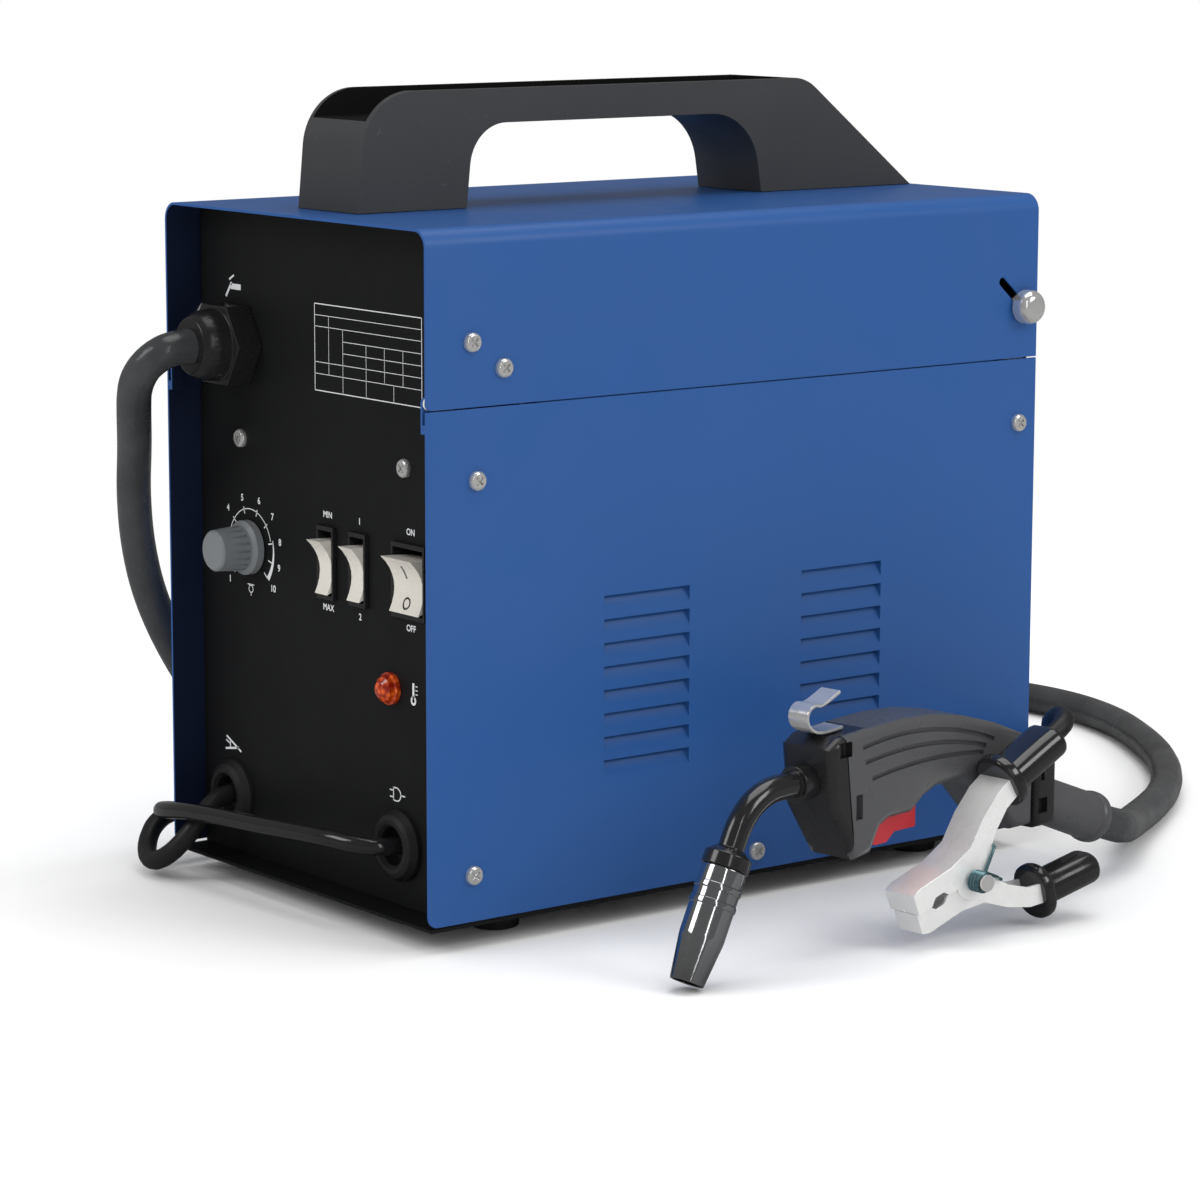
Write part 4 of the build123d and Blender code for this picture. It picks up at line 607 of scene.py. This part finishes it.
# a profile of (radius, along) points in millimetres, turned about its own axis
def addSpun(bm, profile, place, closed=False, steps=56):
    before = set(bm.verts)
    verts = [bm.verts.new((r / 1000, 0, t / 1000)) for r, t in profile]
    pairs = list(zip(verts, verts[1:])) + ([(verts[-1], verts[0])] if closed else [])
    edges = [bm.edges.new(pair) for pair in pairs]
    bmesh.ops.spin(bm, geom=verts + edges, cent=(0, 0, 0), axis=(0, 0, 1), dvec=(0, 0, 0),
                   angle=2 * math.pi, steps=steps, use_merge=True, use_duplicate=False)
    fresh = [v for v in bm.verts if v not in before]
    bmesh.ops.remove_doubles(bm, verts=fresh, dist=1e-7)
    fresh = [v for v in bm.verts if v not in before]
    faces = {f for v in fresh for f in v.link_faces}
    bmesh.ops.recalc_face_normals(bm, faces=list(faces))
    bmesh.ops.transform(bm, matrix=place, verts=fresh)


# rounded rectangles of (along, half width, half height) joined into a tube with closed ends
def addLoft(bm, stations, place, corner=0.92, cornerSteps=6):
    rings = []
    for along, wide, high in stations:
        radius = corner * min(wide, high)
        ring = []
        for quarter in range(4):
            cx = (wide - radius) * (1 if quarter in (0, 3) else -1)
            cz = (high - radius) * (1 if quarter in (0, 1) else -1)
            for i in range(cornerSteps + 1):
                turn = math.radians(90 * quarter + 90 * i / cornerSteps)
                ring.append(bm.verts.new((along / 1000, (cx + radius * math.cos(turn)) / 1000,
                                          (cz + radius * math.sin(turn)) / 1000)))
        rings.append(ring)
    count = len(rings[0])
    faces = [bm.faces.new([a[i], a[(i + 1) % count], b[(i + 1) % count], b[i]])
             for a, b in zip(rings, rings[1:]) for i in range(count)]
    faces += [bm.faces.new(rings[0]), bm.faces.new(rings[-1])]
    bmesh.ops.recalc_face_normals(bm, faces=faces)
    bmesh.ops.transform(bm, matrix=place, verts=[v for ring in rings for v in ring])


def cutAway(piece, cutter):
    piece.modifiers.clear()
    cut = piece.modifiers.new("cut", "BOOLEAN")
    cut.operation = "DIFFERENCE"
    cut.solver = "EXACT"
    cut.use_self = True
    cut.object = cutter
    mesh = meshOf(piece)
    piece.modifiers.clear()
    uncut = piece.data
    piece.data = mesh
    bpy.data.meshes.remove(uncut)
    bpy.data.objects.remove(cutter)
    smoothOver(piece, 30)


# torch, in its own frame: along from the nozzle's mouth, across, up
torch = {
    "place": Matrix.Translation((0.212, -0.122, 0)) @ Matrix.Rotation(math.atan2(287, -42), 4, "Z"),
    "outline": [(73, 93), (80, 97), (100, 98.5), (125, 99.5), (145, 98.5), (165, 95), (188, 88.5),
                (214, 78.5), (214, 38), (200, 38), (190, 48), (178, 60), (165, 67), (146, 66),
                (138, 63), (129, 57), (114.5, 57), (108, 54), (102, 43.5), (92, 42), (76, 66)],
    "half": 14.5, "split": 0.05, "round": 4.2, "cutPast": 2, "blockEnd": 89,
    "grooves": [((94.5, 91.1), (139.4, 92.7), (184.3, 81.9)),
                ((96.4, 84.4), (139.5, 86.5), (178.7, 79.7)),
                ((101, 76.7), (139.7, 79.6), (176.9, 77))],
    "grooveWide": 2.0, "grooveDeep": 1.5,
    "seam": ((83.5, 101), (86.5, 72), (91, 40)), "seamWide": 0.7, "seamDeep": 5,
    "slots": [(79.5, 87.5, 88.5, 95), (90.5, 95, 60, 71)], "slotDeep": 3.0,
    "triggerSlot": (106.7, 144, 38, 68), "triggerHalf": 6.0,
    "triggerPin": (111, 64, 1.6), "pinReach": 8.2, "pinSides": 20,
}


# a stroke of constant width along a smooth line through three points
def strokeOutline(points, wide, steps=14):
    a, b, c = (Vector(p) for p in points)
    mid = 2 * b - (a + c) / 2
    line = [a * (1 - t) ** 2 + mid * 2 * t * (1 - t) + c * t * t
            for t in (i / steps for i in range(steps + 1))]
    left, right = [], []
    for i, p in enumerate(line):
        run = (line[min(i + 1, steps)] - line[max(i - 1, 0)]).normalized()
        side = Vector((-run.y, run.x)) * wide / 2
        left.append(tuple(p + side))
        right.append(tuple(p - side))
    return left + right[::-1]


def boxOutline(s0, s1, z0, z1):
    return [(s0, z0), (s1, z0), (s1, z1), (s0, z1)]


def torchShell(side, node, name):
    half = torch["half"]
    out = side * (half + torch["cutPast"])
    bm = bmesh.new()
    face, back = side * half, side * torch["split"]
    addPrism(bm, torch["outline"], back, face, torch["place"], (face,), torch["round"], 5)
    piece = pieceFrom(bm, name, "torchPlastic", "root", [node])
    bm = bmesh.new()
    for groove in torch["grooves"]:
        addPrism(bm, strokeOutline(groove, torch["grooveWide"]),
                 side * (half - torch["grooveDeep"]), out, torch["place"])
    addPrism(bm, strokeOutline(torch["seam"], torch["seamWide"]),
             side * (half - torch["seamDeep"]), out, torch["place"])
    for slot in torch["slots"]:
        addPrism(bm, boxOutline(*slot), side * (half - torch["slotDeep"]), out, torch["place"])
    addPrism(bm, boxOutline(*torch["triggerSlot"]), -torch["triggerHalf"], torch["triggerHalf"],
             torch["place"])
    s, z, r = torch["triggerPin"]
    turns = [i * 2 * math.pi / torch["pinSides"] for i in range(torch["pinSides"])]
    pin = [(s + r * math.cos(turn), z + r * math.sin(turn)) for turn in turns]
    addPrism(bm, pin, -torch["pinReach"], torch["pinReach"], torch["place"])
    cutAway(piece, objectFrom(bm, name + "Cutter"))
    home = torch["place"].inverted()
    repaint(piece, "torchBlack", lambda at, way: (home @ at).x < torch["blockEnd"] / 1000)


torchShell(1, "torch_shell_left", "torchShellFar")
torchShell(-1, "torch_shell_right", "torchShellNear")

# the nozzle's wall as (radius, along) points from its mouth; axis is how it leans
nozzle = {
    "axis": (0.456, 0.890), "mouth": 7.4,
    "outer": [(6.9, 0), (7.3, 0.1), (7.45, 0.6), (9.6, 18.6), (9.75, 20.4), (9.75, 33), (10.15, 33.3),
              (10.25, 34.4), (10.15, 35.6), (9.75, 36), (9.75, 40), (10.15, 40.3), (10.25, 41.4),
              (10.15, 42.6), (9.75, 43), (9.75, 49.4), (9.45, 50)],
    "inner": [(8.55, 50), (8.55, 20), (6.35, 0.5), (6.5, 0.1)],
}


def nozzlePlace():
    lean = math.atan2(*nozzle["axis"])
    lift = nozzle["mouth"] * nozzle["axis"][0] / 1000
    return torch["place"] @ Matrix.Translation((0, 0, lift)) @ Matrix.Rotation(lean, 4, "Y")


bm = bmesh.new()
addSpun(bm, nozzle["outer"] + nozzle["inner"], nozzlePlace(), closed=True, steps=72)
pieceFrom(bm, "nozzleSpun", "nozzleChrome", "root", ["torch_nozzle"])

hook = {
    "line": [(92, 99.3), (79, 98.4), (73, 100), (69, 104), (69.5, 109), (74, 111.5), (78, 110),
             (90, 115)],
    "thick": 1.3, "half": 5.5, "round": 0.3,
}


# each corner of a line is cut off, and the new ones again
def softened(points, rounds=2):
    for _ in range(rounds):
        cut = [points[0]]
        for (x0, z0), (x1, z1) in zip(points, points[1:]):
            cut += [(0.75 * x0 + 0.25 * x1, 0.75 * z0 + 0.25 * z1),
                    (0.25 * x0 + 0.75 * x1, 0.25 * z0 + 0.75 * z1)]
        points = cut + [points[-1]]
    return points


def stripOutline(points, thick):
    left, right = [], []
    for i, (x, z) in enumerate(points):
        x0, z0 = points[max(i - 1, 0)]
        x1, z1 = points[min(i + 1, len(points) - 1)]
        reach = math.hypot(x1 - x0, z1 - z0)
        nx, nz = -(z1 - z0) / reach * thick / 2, (x1 - x0) / reach * thick / 2
        left.append((x + nx, z + nz))
        right.append((x - nx, z - nz))
    return left + right[::-1]


bm = bmesh.new()
addPrism(bm, stripOutline(softened(hook["line"]), hook["thick"]), -hook["half"], hook["half"],
         torch["place"], (-hook["half"], hook["half"]), hook["round"], 2)
pieceFrom(bm, "hookStrip", "nickel", "root", ["torch_hook"])

torchRear = {
    "collar": (214.2, 229, 36.5, 74), "corner": 4, "half": 15.5, "round": 3.0,
    "slots": [(217.3, 219.6, 58, 70), (216, 222, 43, 50)], "slotDeep": 3, "cutPast": 2,
    "start": (229, 46.9), "end": (276, 29),
    "profile": [(0, -5), (10.3, -5), (10.5, 0), (10.8, 16), (11, 44.2), (11.3, 44.6), (11.85, 45.4),
                (12, 46.4), (12, 48.2), (11.8, 49.4), (11.2, 50.1), (8.6, 50.29), (0, 50.29)],
}


def sleevePlace():
    (s0, z0), (s1, z1) = torchRear["start"], torchRear["end"]
    start = Matrix.Translation((s0 / 1000, 0, z0 / 1000))
    turn = math.pi / 2 - math.atan2(z1 - z0, s1 - s0)
    return torch["place"] @ start @ Matrix.Rotation(turn, 4, "Y")


def torchCollar():
    s0, s1, z0, z1 = torchRear["collar"]
    corner, half = torchRear["corner"], torchRear["half"]
    outline = [(s0, z0), (s1, z0), (s1, z1 - corner), (s1 - corner, z1), (s0, z1)]
    bm = bmesh.new()
    addPrism(bm, outline, -half, half, torch["place"], (-half, half), torchRear["round"], 4)
    piece = pieceFrom(bm, "torchCollar", "torchBlack", "root",
                      ["torch_sleeve"])
    bm = bmesh.new()
    for slot in torchRear["slots"]:
        addPrism(bm, boxOutline(*slot), -half - torchRear["cutPast"], -half + torchRear["slotDeep"],
                 torch["place"])
    cutAway(piece, objectFrom(bm, "collarCutter"))


torchCollar()
bm = bmesh.new()
addSpun(bm, torchRear["profile"], sleevePlace())
pieceFrom(bm, "torchSleeve", "torchPlastic", "root")
print("torch shaped")

# earth clamp, in its own frame: along from the pin, across, up; a grip is a row of
# (along, what it stands out past the half width, half height)
clamp = {
    "place": (Matrix.Translation((0.216, 0.027, 0.0278)) @ Matrix.Rotation(math.pi / 2, 4, "Z")
              @ Matrix.Rotation(math.radians(-20.5), 4, "Y")
              @ Matrix.Rotation(math.radians(-2), 4, "X")),
    "upperHalf": 9.5, "lowerHalf": 7.6,
    "gripCentre": (54.5, 30.2), "gripLean": math.atan2(3.5, 26),
    "grip": [(-19.5, 2.0, 10.4), (-19.2, 2.9, 11.6), (-18.4, 3.4, 12.3), (-17.4, 3.5, 12.5),
             (-15.4, 3.5, 12.5), (-14.4, 3.3, 12.2), (-13.7, 2.6, 11.2), (-13.4, 1.6, 8.4),
             (-12.8, 1.5, 7.3), (-4, 1.5, 7.25), (6, 1.5, 7.25), (13.4, 1.5, 7.2), (15, 1.1, 6.7),
             (16, 0.3, 5.7), (16.45, -0.9, 4.2)],
}


def gripPiece(name, node, half, body, flip):
    a, b = clamp["gripCentre"]
    place = clamp["place"] @ Matrix.Diagonal((1, 1, flip, 1))
    place = place @ Matrix.Translation((a / 1000, 0, b / 1000))
    place = place @ Matrix.Rotation(-clamp["gripLean"], 4, "Y")
    bm = bmesh.new()
    addLoft(bm, [(along, half + wide, high) for along, wide, high in clamp["grip"]], place)
    if flip < 0:
        bmesh.ops.recalc_face_normals(bm, faces=bm.faces)
    return pieceFrom(bm, name, "glossVinyl", body, [node], 60)


gripPiece("upperGripDipped", "clamp_upper_grip", clamp["upperHalf"], "clamp_upper", 1)
gripPiece("lowerGripDipped", "clamp_lower_grip", clamp["lowerHalf"], "root", -1)

spring = {"wire": 0.8, "radius": 4.1, "start": -10.6, "pitch": 1.74, "turns": 3, "step": 12,
          "legTurn": 48, "legLength": 17, "lowerShares": (0.25, 0.55, 0.85, 1), "legSpread": 3,
          "lowerCheek": -8.6, "cheekGap": 0.2, "upperShares": (0.12, 0.3, 0.7, 1),
          "upperBend": (0.6, 1.4, 0.6), "upperWire": 0.96}


def wirePiece(name, points, wire, body, standsFor=()):
    curve = bpy.data.curves.new(name, "CURVE")
    curve.dimensions = "3D"
    spline = curve.splines.new("POLY")
    spline.points.add(len(points) - 1)
    for knot, p in zip(spline.points, points):
        knot.co = (*(clamp["place"] @ Vector([c / 1000 for c in p])), 1)
    curve.bevel_depth = wire / 1000
    curve.bevel_resolution = 3
    curve.use_fill_caps = True
    curve.materials.append(finishes["bluedSteel"])
    piece = addToScene(name, curve)
    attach(piece, body)
    if standsFor:
        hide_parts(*standsFor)


def springPoints():
    low, leg, cheek = spring["legTurn"], spring["legLength"], spring["lowerCheek"]
    total = 360 * (spring["turns"] + 1) - 2 * low
    points = []
    for i in range(int(total / spring["step"]) + 1):
        turned = min(spring["step"] * i, total)
        angle = math.radians(-low - turned)
        points.append((spring["radius"] * math.cos(angle),
                       spring["start"] - spring["pitch"] * turned / 360,
                       spring["radius"] * math.sin(angle)))
    x, y, z = points[-1]
    run = math.radians(low)
    sides = (y, y + spring["legSpread"], cheek - spring["cheekGap"], cheek)
    for share, side in zip(spring["lowerShares"], sides):
        points.append((x + leg * share * math.sin(run), side, z - leg * share * math.cos(run)))
    return points


def upperLeg():
    low, leg, side = math.radians(spring["legTurn"]), spring["legLength"], spring["start"]
    x, z = spring["radius"] * math.cos(low), -spring["radius"] * math.sin(low)
    line = [(x + leg * share * math.sin(low), side, z + leg * share * math.cos(low))
            for share in spring["upperShares"]]
    return line + [tuple(a + b for a, b in zip(line[-1], spring["upperBend"]))]


wirePiece("springCoil", springPoints(), spring["wire"], "root", ["clamp_spring"])
wirePiece("springLeg", upperLeg(), spring["wire"] * spring["upperWire"], "clamp_upper")
print("clamp shaped")

# tapered relief on the mains lead where it enters the plug
relief = {"length": 0.030, "narrow": 0.0046, "wide": 0.0078, "ribs": 7, "ribDepth": 0.0006,
          "ribSteps": 6, "grooveSteps": (3, 4), "sides": 24}


# the lead's line from the plug back, as places and how far along each one is
def leadFromPlug(length):
    line = centreline("relief", mainsPoints)[::-1]
    kept, lengths = [line[0]], [0.0]
    for p in line[1:]:
        lengths.append(lengths[-1] + (p - kept[-1]).length)
        kept.append(p)
        if lengths[-1] > length:
            break
    return kept, lengths


def reliefPiece():
    kept, lengths = leadFromPlug(relief["length"])
    steps = relief["ribSteps"] * relief["ribs"]
    sides = relief["sides"]
    bm = bmesh.new()
    rings = []
    for i in range(steps + 1):
        reach = relief["length"] * i / steps
        j = max(k for k in range(len(lengths) - 1) if lengths[k] <= reach + 1e-9)
        centre = kept[j].lerp(kept[j + 1], (reach - lengths[j]) / (lengths[j + 1] - lengths[j]))
        run = (kept[j + 1] - kept[j]).normalized()
        side = run.cross(Vector((0, 0, 1))).normalized()
        up = side.cross(run)
        radius = relief["wide"] + (relief["narrow"] - relief["wide"]) * i / steps
        radius -= relief["ribDepth"] * (i % relief["ribSteps"] in relief["grooveSteps"])
        turns = [2 * math.pi * k / sides for k in range(sides)]
        rings.append([bm.verts.new(centre + side * radius * math.cos(a) + up * radius * math.sin(a))
                      for a in turns])
    for a, b in zip(rings, rings[1:]):
        for k in range(sides):
            bm.faces.new([a[k], a[(k + 1) % sides], b[(k + 1) % sides], b[k]])
    bm.faces.new(rings[0])
    bm.faces.new(rings[-1])
    bmesh.ops.recalc_face_normals(bm, faces=bm.faces)
    return pieceFrom(bm, "plugRelief", "blackRubber", "root")


reliefPiece()
print("plug relief shaped")

# printed marks on the front panel: x and z in millimetres, bars as two ends and a width,
# arcs as a centre, a radius, two angles and a width
panelPrint = {
    "face": -159.08, "textFatter": 0.00008, "textScale": 1.38,
    "dialCentre": (-60.7, 156), "ticks": (15.5, 18.8, 0.6), "numberHigh": 3.2,
    "dialArc": (17.6, 222, 15, 0.45), "dialWedge": (19.4, 15, -42, 0.5, 2.4),
    "numbers": [("1", -78, 139), ("2", -83.6, 147), ("3", -84.8, 158), ("4", -79, 172),
                ("5", -67, 178), ("6", -53, 178), ("7", -42, 172), ("8", -36, 161),
                ("9", -37, 149), ("10", -42, 139)],
    "words": [("MIN", 3, 178.4, 2.9), ("MAX", 3, 136.6, 2.9), ("1", 28, 178.4, 3.0),
              ("2", 28, 135.8, 3.0), ("ON", 67, 178.4, 2.9), ("OFF", 67, 136.2, 2.9)],
    "table": (-6, 76, 233.5, 272), "borderWide": 0.42, "ruleWide": 0.26,
    "tableRows": [(-6, 267), (-6, 262), (16, 256.6), (16, 251.4), (-6, 246.2), (-6, 241)],
    "tableColumns": [(5, 241, 267), (16, 233.5, 262), (34, 233.5, 256.6), (48, 241, 256.6),
                     (62, 241, 256.6), (55, 233.5, 241)],
    "signs": {
        "wireFeed": {"arcs": [(-60.5, 136.6, 1.7, 0, 360, 0.5)],
                     "bars": [(-63.2, 138.6, -57.8, 138.6, 0.5), (-60.5, 133.4, -60.5, 135, 0.5)]},
        "torch": {"bars": [(-78.5, 269.6, -73.6, 276.2, 1.3), (-74.4, 274.4, -66, 274.4, 2.6),
                           (-75.6, 277.4, -71.6, 279.6, 0.9)]},
        "clamp": {"bars": [(-83, 64.4, -70.5, 58.6, 1.0), (-84, 58.2, -72.5, 60.2, 1.0),
                           (-79.8, 59.4, -79.8, 62.2, 0.8), (-83.4, 62.4, -80.4, 61.2, 0.7)]},
        "plug": {"arcs": [(55.4, 60.7, 2.9, -90, 90, 0.6)],
                 "bars": [(52.6, 57.8, 55.6, 57.8, 0.6), (52.6, 63.6, 55.6, 63.6, 0.6),
                          (52.8, 57.5, 52.8, 63.9, 0.6), (50, 59.2, 52.8, 59.2, 0.6),
                          (50, 62.2, 52.8, 62.2, 0.6), (58.3, 60.7, 61.6, 60.7, 0.6)]},
        "thermometer": {"arcs": [(68.4, 104.6, 1.5, 0, 360, 1.1)],
                        "bars": [(68.4, 105.6, 68.4, 112.4, 1.5), (70, 107.6, 71.6, 107.6, 0.45),
                                 (70, 109.4, 71.6, 109.4, 0.45), (70, 111.2, 71.6, 111.2, 0.45)]},
    },
}


def panelPoint(x, z):
    return (x / 1000, panelPrint["face"] / 1000, z / 1000)


def markBar(bm, x0, z0, x1, z1, wide):
    reach = math.hypot(x1 - x0, z1 - z0)
    nx, nz = -(z1 - z0) / reach * wide / 2, (x1 - x0) / reach * wide / 2
    bm.faces.new([bm.verts.new(panelPoint(*p)) for p in
                  ((x0 - nx, z0 - nz), (x1 - nx, z1 - nz), (x1 + nx, z1 + nz), (x0 + nx, z0 + nz))])


# angles in degrees, anticlockwise from the right
def markArc(bm, cx, cz, radius, start, end, wide, endWide=None, steps=36):
    endWide = wide if endWide is None else endWide
    inner, outer = [], []
    for i in range(steps + 1):
        turn = math.radians(start + (end - start) * i / steps)
        half = (wide + (endWide - wide) * i / steps) / 2
        for row, r in ((inner, radius - half), (outer, radius + half)):
            row.append(bm.verts.new(panelPoint(cx + r * math.cos(turn), cz + r * math.sin(turn))))
    for i in range(steps):
        bm.faces.new([inner[i], outer[i], outer[i + 1], inner[i + 1]])


def markText(bm, text, x, z, high):
    words = bpy.data.curves.new("words", "FONT")
    words.body = text
    words.size = high * panelPrint["textScale"] / 1000
    words.offset = panelPrint["textFatter"]
    words.align_x = "CENTER"
    words.align_y = "CENTER"
    holder = addToScene("words", words)
    mesh = meshOf(holder)
    bpy.data.objects.remove(holder)
    corners = [bm.verts.new((x / 1000 + v.co.x, panelPrint["face"] / 1000, z / 1000 + v.co.y))
               for v in mesh.vertices]
    for face in mesh.polygons:
        bm.faces.new([corners[i] for i in face.vertices])
    bpy.data.meshes.remove(mesh)


def printPiece(bm, name, finish, body):
    piece = objectFrom(bm, name)
    piece.data.materials.append(finishes[finish])
    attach(piece, body)


def printPanel():
    bm = bmesh.new()
    cx, cz = panelPrint["dialCentre"]
    start, end, wide = panelPrint["ticks"]
    for text, x, z in panelPrint["numbers"]:
        markText(bm, text, x, z, panelPrint["numberHigh"])
        away = math.hypot(x - cx, z - cz)
        ux, uz = (x - cx) / away, (z - cz) / away
        markBar(bm, cx + start * ux, cz + start * uz, cx + end * ux, cz + end * uz, wide)
    markArc(bm, cx, cz, *panelPrint["dialArc"])
    markArc(bm, cx, cz, *panelPrint["dialWedge"])
    for text, x, z, high in panelPrint["words"]:
        markText(bm, text, x, z, high)
    x0, x1, z0, z1 = panelPrint["table"]
    for a, b, c, d in ((x0, z0, x1, z0), (x1, z0, x1, z1), (x1, z1, x0, z1), (x0, z1, x0, z0)):
        markBar(bm, a, b, c, d, panelPrint["borderWide"])
    for x, z in panelPrint["tableRows"]:
        markBar(bm, x, z, x1, z, panelPrint["ruleWide"])
    for x, low, high in panelPrint["tableColumns"]:
        markBar(bm, x, low, x, high, panelPrint["ruleWide"])
    for sign in panelPrint["signs"].values():
        for arc in sign.get("arcs", ()):
            markArc(bm, *arc)
        for bar in sign["bars"]:
            markBar(bm, *bar)
    printPiece(bm, "panelPrint", "printWhite", "root")


printPanel()

# marks on the power rocker, laid on its curved face
rockerPrint = {"line": (67, 161.4, 2.9, 0.9), "lineParts": 6, "ring": (67, 147.6, 2.3, 0.8),
               "off": 0.00012, "lookFrom": -0.3}


def printRocker():
    node = nodes["rocker_power"]
    tree = BVHTree.FromPolygons([node.matrix_world @ v.co for v in node.data.vertices],
                                [list(p.vertices) for p in node.data.polygons])
    bm = bmesh.new()
    x, z, half, wide = rockerPrint["line"]
    part = 2 * half / rockerPrint["lineParts"]
    for i in range(rockerPrint["lineParts"]):
        low = z - half + i * part
        markBar(bm, x, low, x, low + part, wide)
    x, z, radius, wide = rockerPrint["ring"]
    markArc(bm, x, z, radius, 0, 360, wide)
    for v in bm.verts:
        hit = tree.ray_cast(Vector((v.co.x, rockerPrint["lookFrom"], v.co.z)), Vector((0, 1, 0)))[0]
        if hit:
            v.co.y = hit.y - rockerPrint["off"]
    printPiece(bm, "rockerPrint", "markBlack", "rocker_power")


printRocker()
print("marks printed")

# floor and light
studio = {"floorSize": 16, "floorDrop": 0.0004, "floorShade": 0.96, "floorInGloss": 0.20,
          "floorRough": 0.9, "fadeStart": 0.75, "fadeEnd": 1.25, "worldDiffuse": 0.80,
          "worldGlossy": 0.16, "lampsAim": (0, 0, 0.15)}


# the floor takes the shadow, and fades to the white of the backdrop away from the machine
def makeFloor(look):
    bm = bmesh.new()
    bmesh.ops.create_grid(bm, x_segments=1, y_segments=1, size=look["floorSize"] / 2)
    floor = objectFrom(bm, "floor")
    floor.location.z = -look["floorDrop"]
    material, tree, shader, place = startFinish("floorPaper")
    rays = tree.nodes.new("ShaderNodeLightPath")
    shade = mixOf(tree, rays.outputs["Is Glossy Ray"], (look["floorShade"],) * 3,
                  (look["floorInGloss"],) * 3)
    tree.links.new(shade, shader.inputs["Base Color"])
    shader.inputs["Roughness"].default_value = look["floorRough"]
    shader.inputs["Specular IOR Level"].default_value = 0
    away = tree.nodes.new("ShaderNodeVectorMath")
    away.operation = "LENGTH"
    tree.links.new(place, away.inputs[0])
    fade = rangeOf(tree, away.outputs["Value"], 0, 1, look["fadeStart"], look["fadeEnd"])
    seen = tree.nodes.new("ShaderNodeMath")
    seen.operation = "MULTIPLY"
    tree.links.new(fade, seen.inputs[0])
    tree.links.new(rays.outputs["Is Camera Ray"], seen.inputs[1])
    white = tree.nodes.new("ShaderNodeEmission")
    mix = tree.nodes.new("ShaderNodeMixShader")
    tree.links.new(seen.outputs[0], mix.inputs[0])
    tree.links.new(shader.outputs[0], mix.inputs[1])
    tree.links.new(white.outputs[0], mix.inputs[2])
    tree.links.new(mix.outputs[0], tree.nodes["Material Output"].inputs["Surface"])
    floor.data.materials.append(material)


# what the camera sees behind the machine is white; reflections see a dimmer room
def makeWorld(look):
    world = bpy.data.worlds.new("studio")
    bpy.context.scene.world = world
    world.use_nodes = True
    tree = world.node_tree
    sky = tree.nodes["Background"]
    sky.inputs["Color"].default_value = (1, 1, 1, 1)
    rays = tree.nodes.new("ShaderNodeLightPath")
    strength = look["worldDiffuse"]
    last = None
    for ray, level in (("Is Camera Ray", 1 - strength),
                       ("Is Glossy Ray", look["worldGlossy"] - strength)):
        step = tree.nodes.new("ShaderNodeMath")
        step.operation = "MULTIPLY_ADD"
        tree.links.new(rays.outputs[ray], step.inputs[0])
        step.inputs[1].default_value = level
        if last:
            tree.links.new(last, step.inputs[2])
        else:
            step.inputs[2].default_value = strength
        last = step.outputs[0]
    tree.links.new(last, sky.inputs["Strength"])


lamps = {
    "keyLamp": {"place": (-0.5, -1.9, 1.5), "size": (1.0, 1.0), "power": 10},
    "sideLamp": {"place": (2.0, 0.9, 1.4), "size": (0.9, 0.9), "power": 11},
    "topLamp": {"place": (0.1, 0.3, 2.2), "size": (1.6, 1.6), "power": 17},
    "stripLamp": {"place": (1.9, -0.7, 0.9), "size": (0.14, 1.5), "power": 3},
}


def makeLamp(name, look):
    lamp = bpy.data.lights.new(name, "AREA")
    lamp.shape = "RECTANGLE"
    lamp.size, lamp.size_y = look["size"]
    lamp.energy = look["power"]
    holder = addToScene(name, lamp)
    holder.location = look["place"]
    back = Vector(look["place"]) - Vector(studio["lampsAim"])
    holder.rotation_euler = back.to_track_quat("Z", "Y").to_euler()


makeFloor(studio)
makeWorld(studio)
for lampName, lampLook in lamps.items():
    makeLamp(lampName, lampLook)
bpy.context.scene.view_settings.view_transform = "Standard"
print("studio lit")

# the curves' boxes are only right after this
for cord in (hosePiece, mainsPiece):
    cord.update_tag(refresh={"OBJECT"})
bpy.context.view_layer.update()
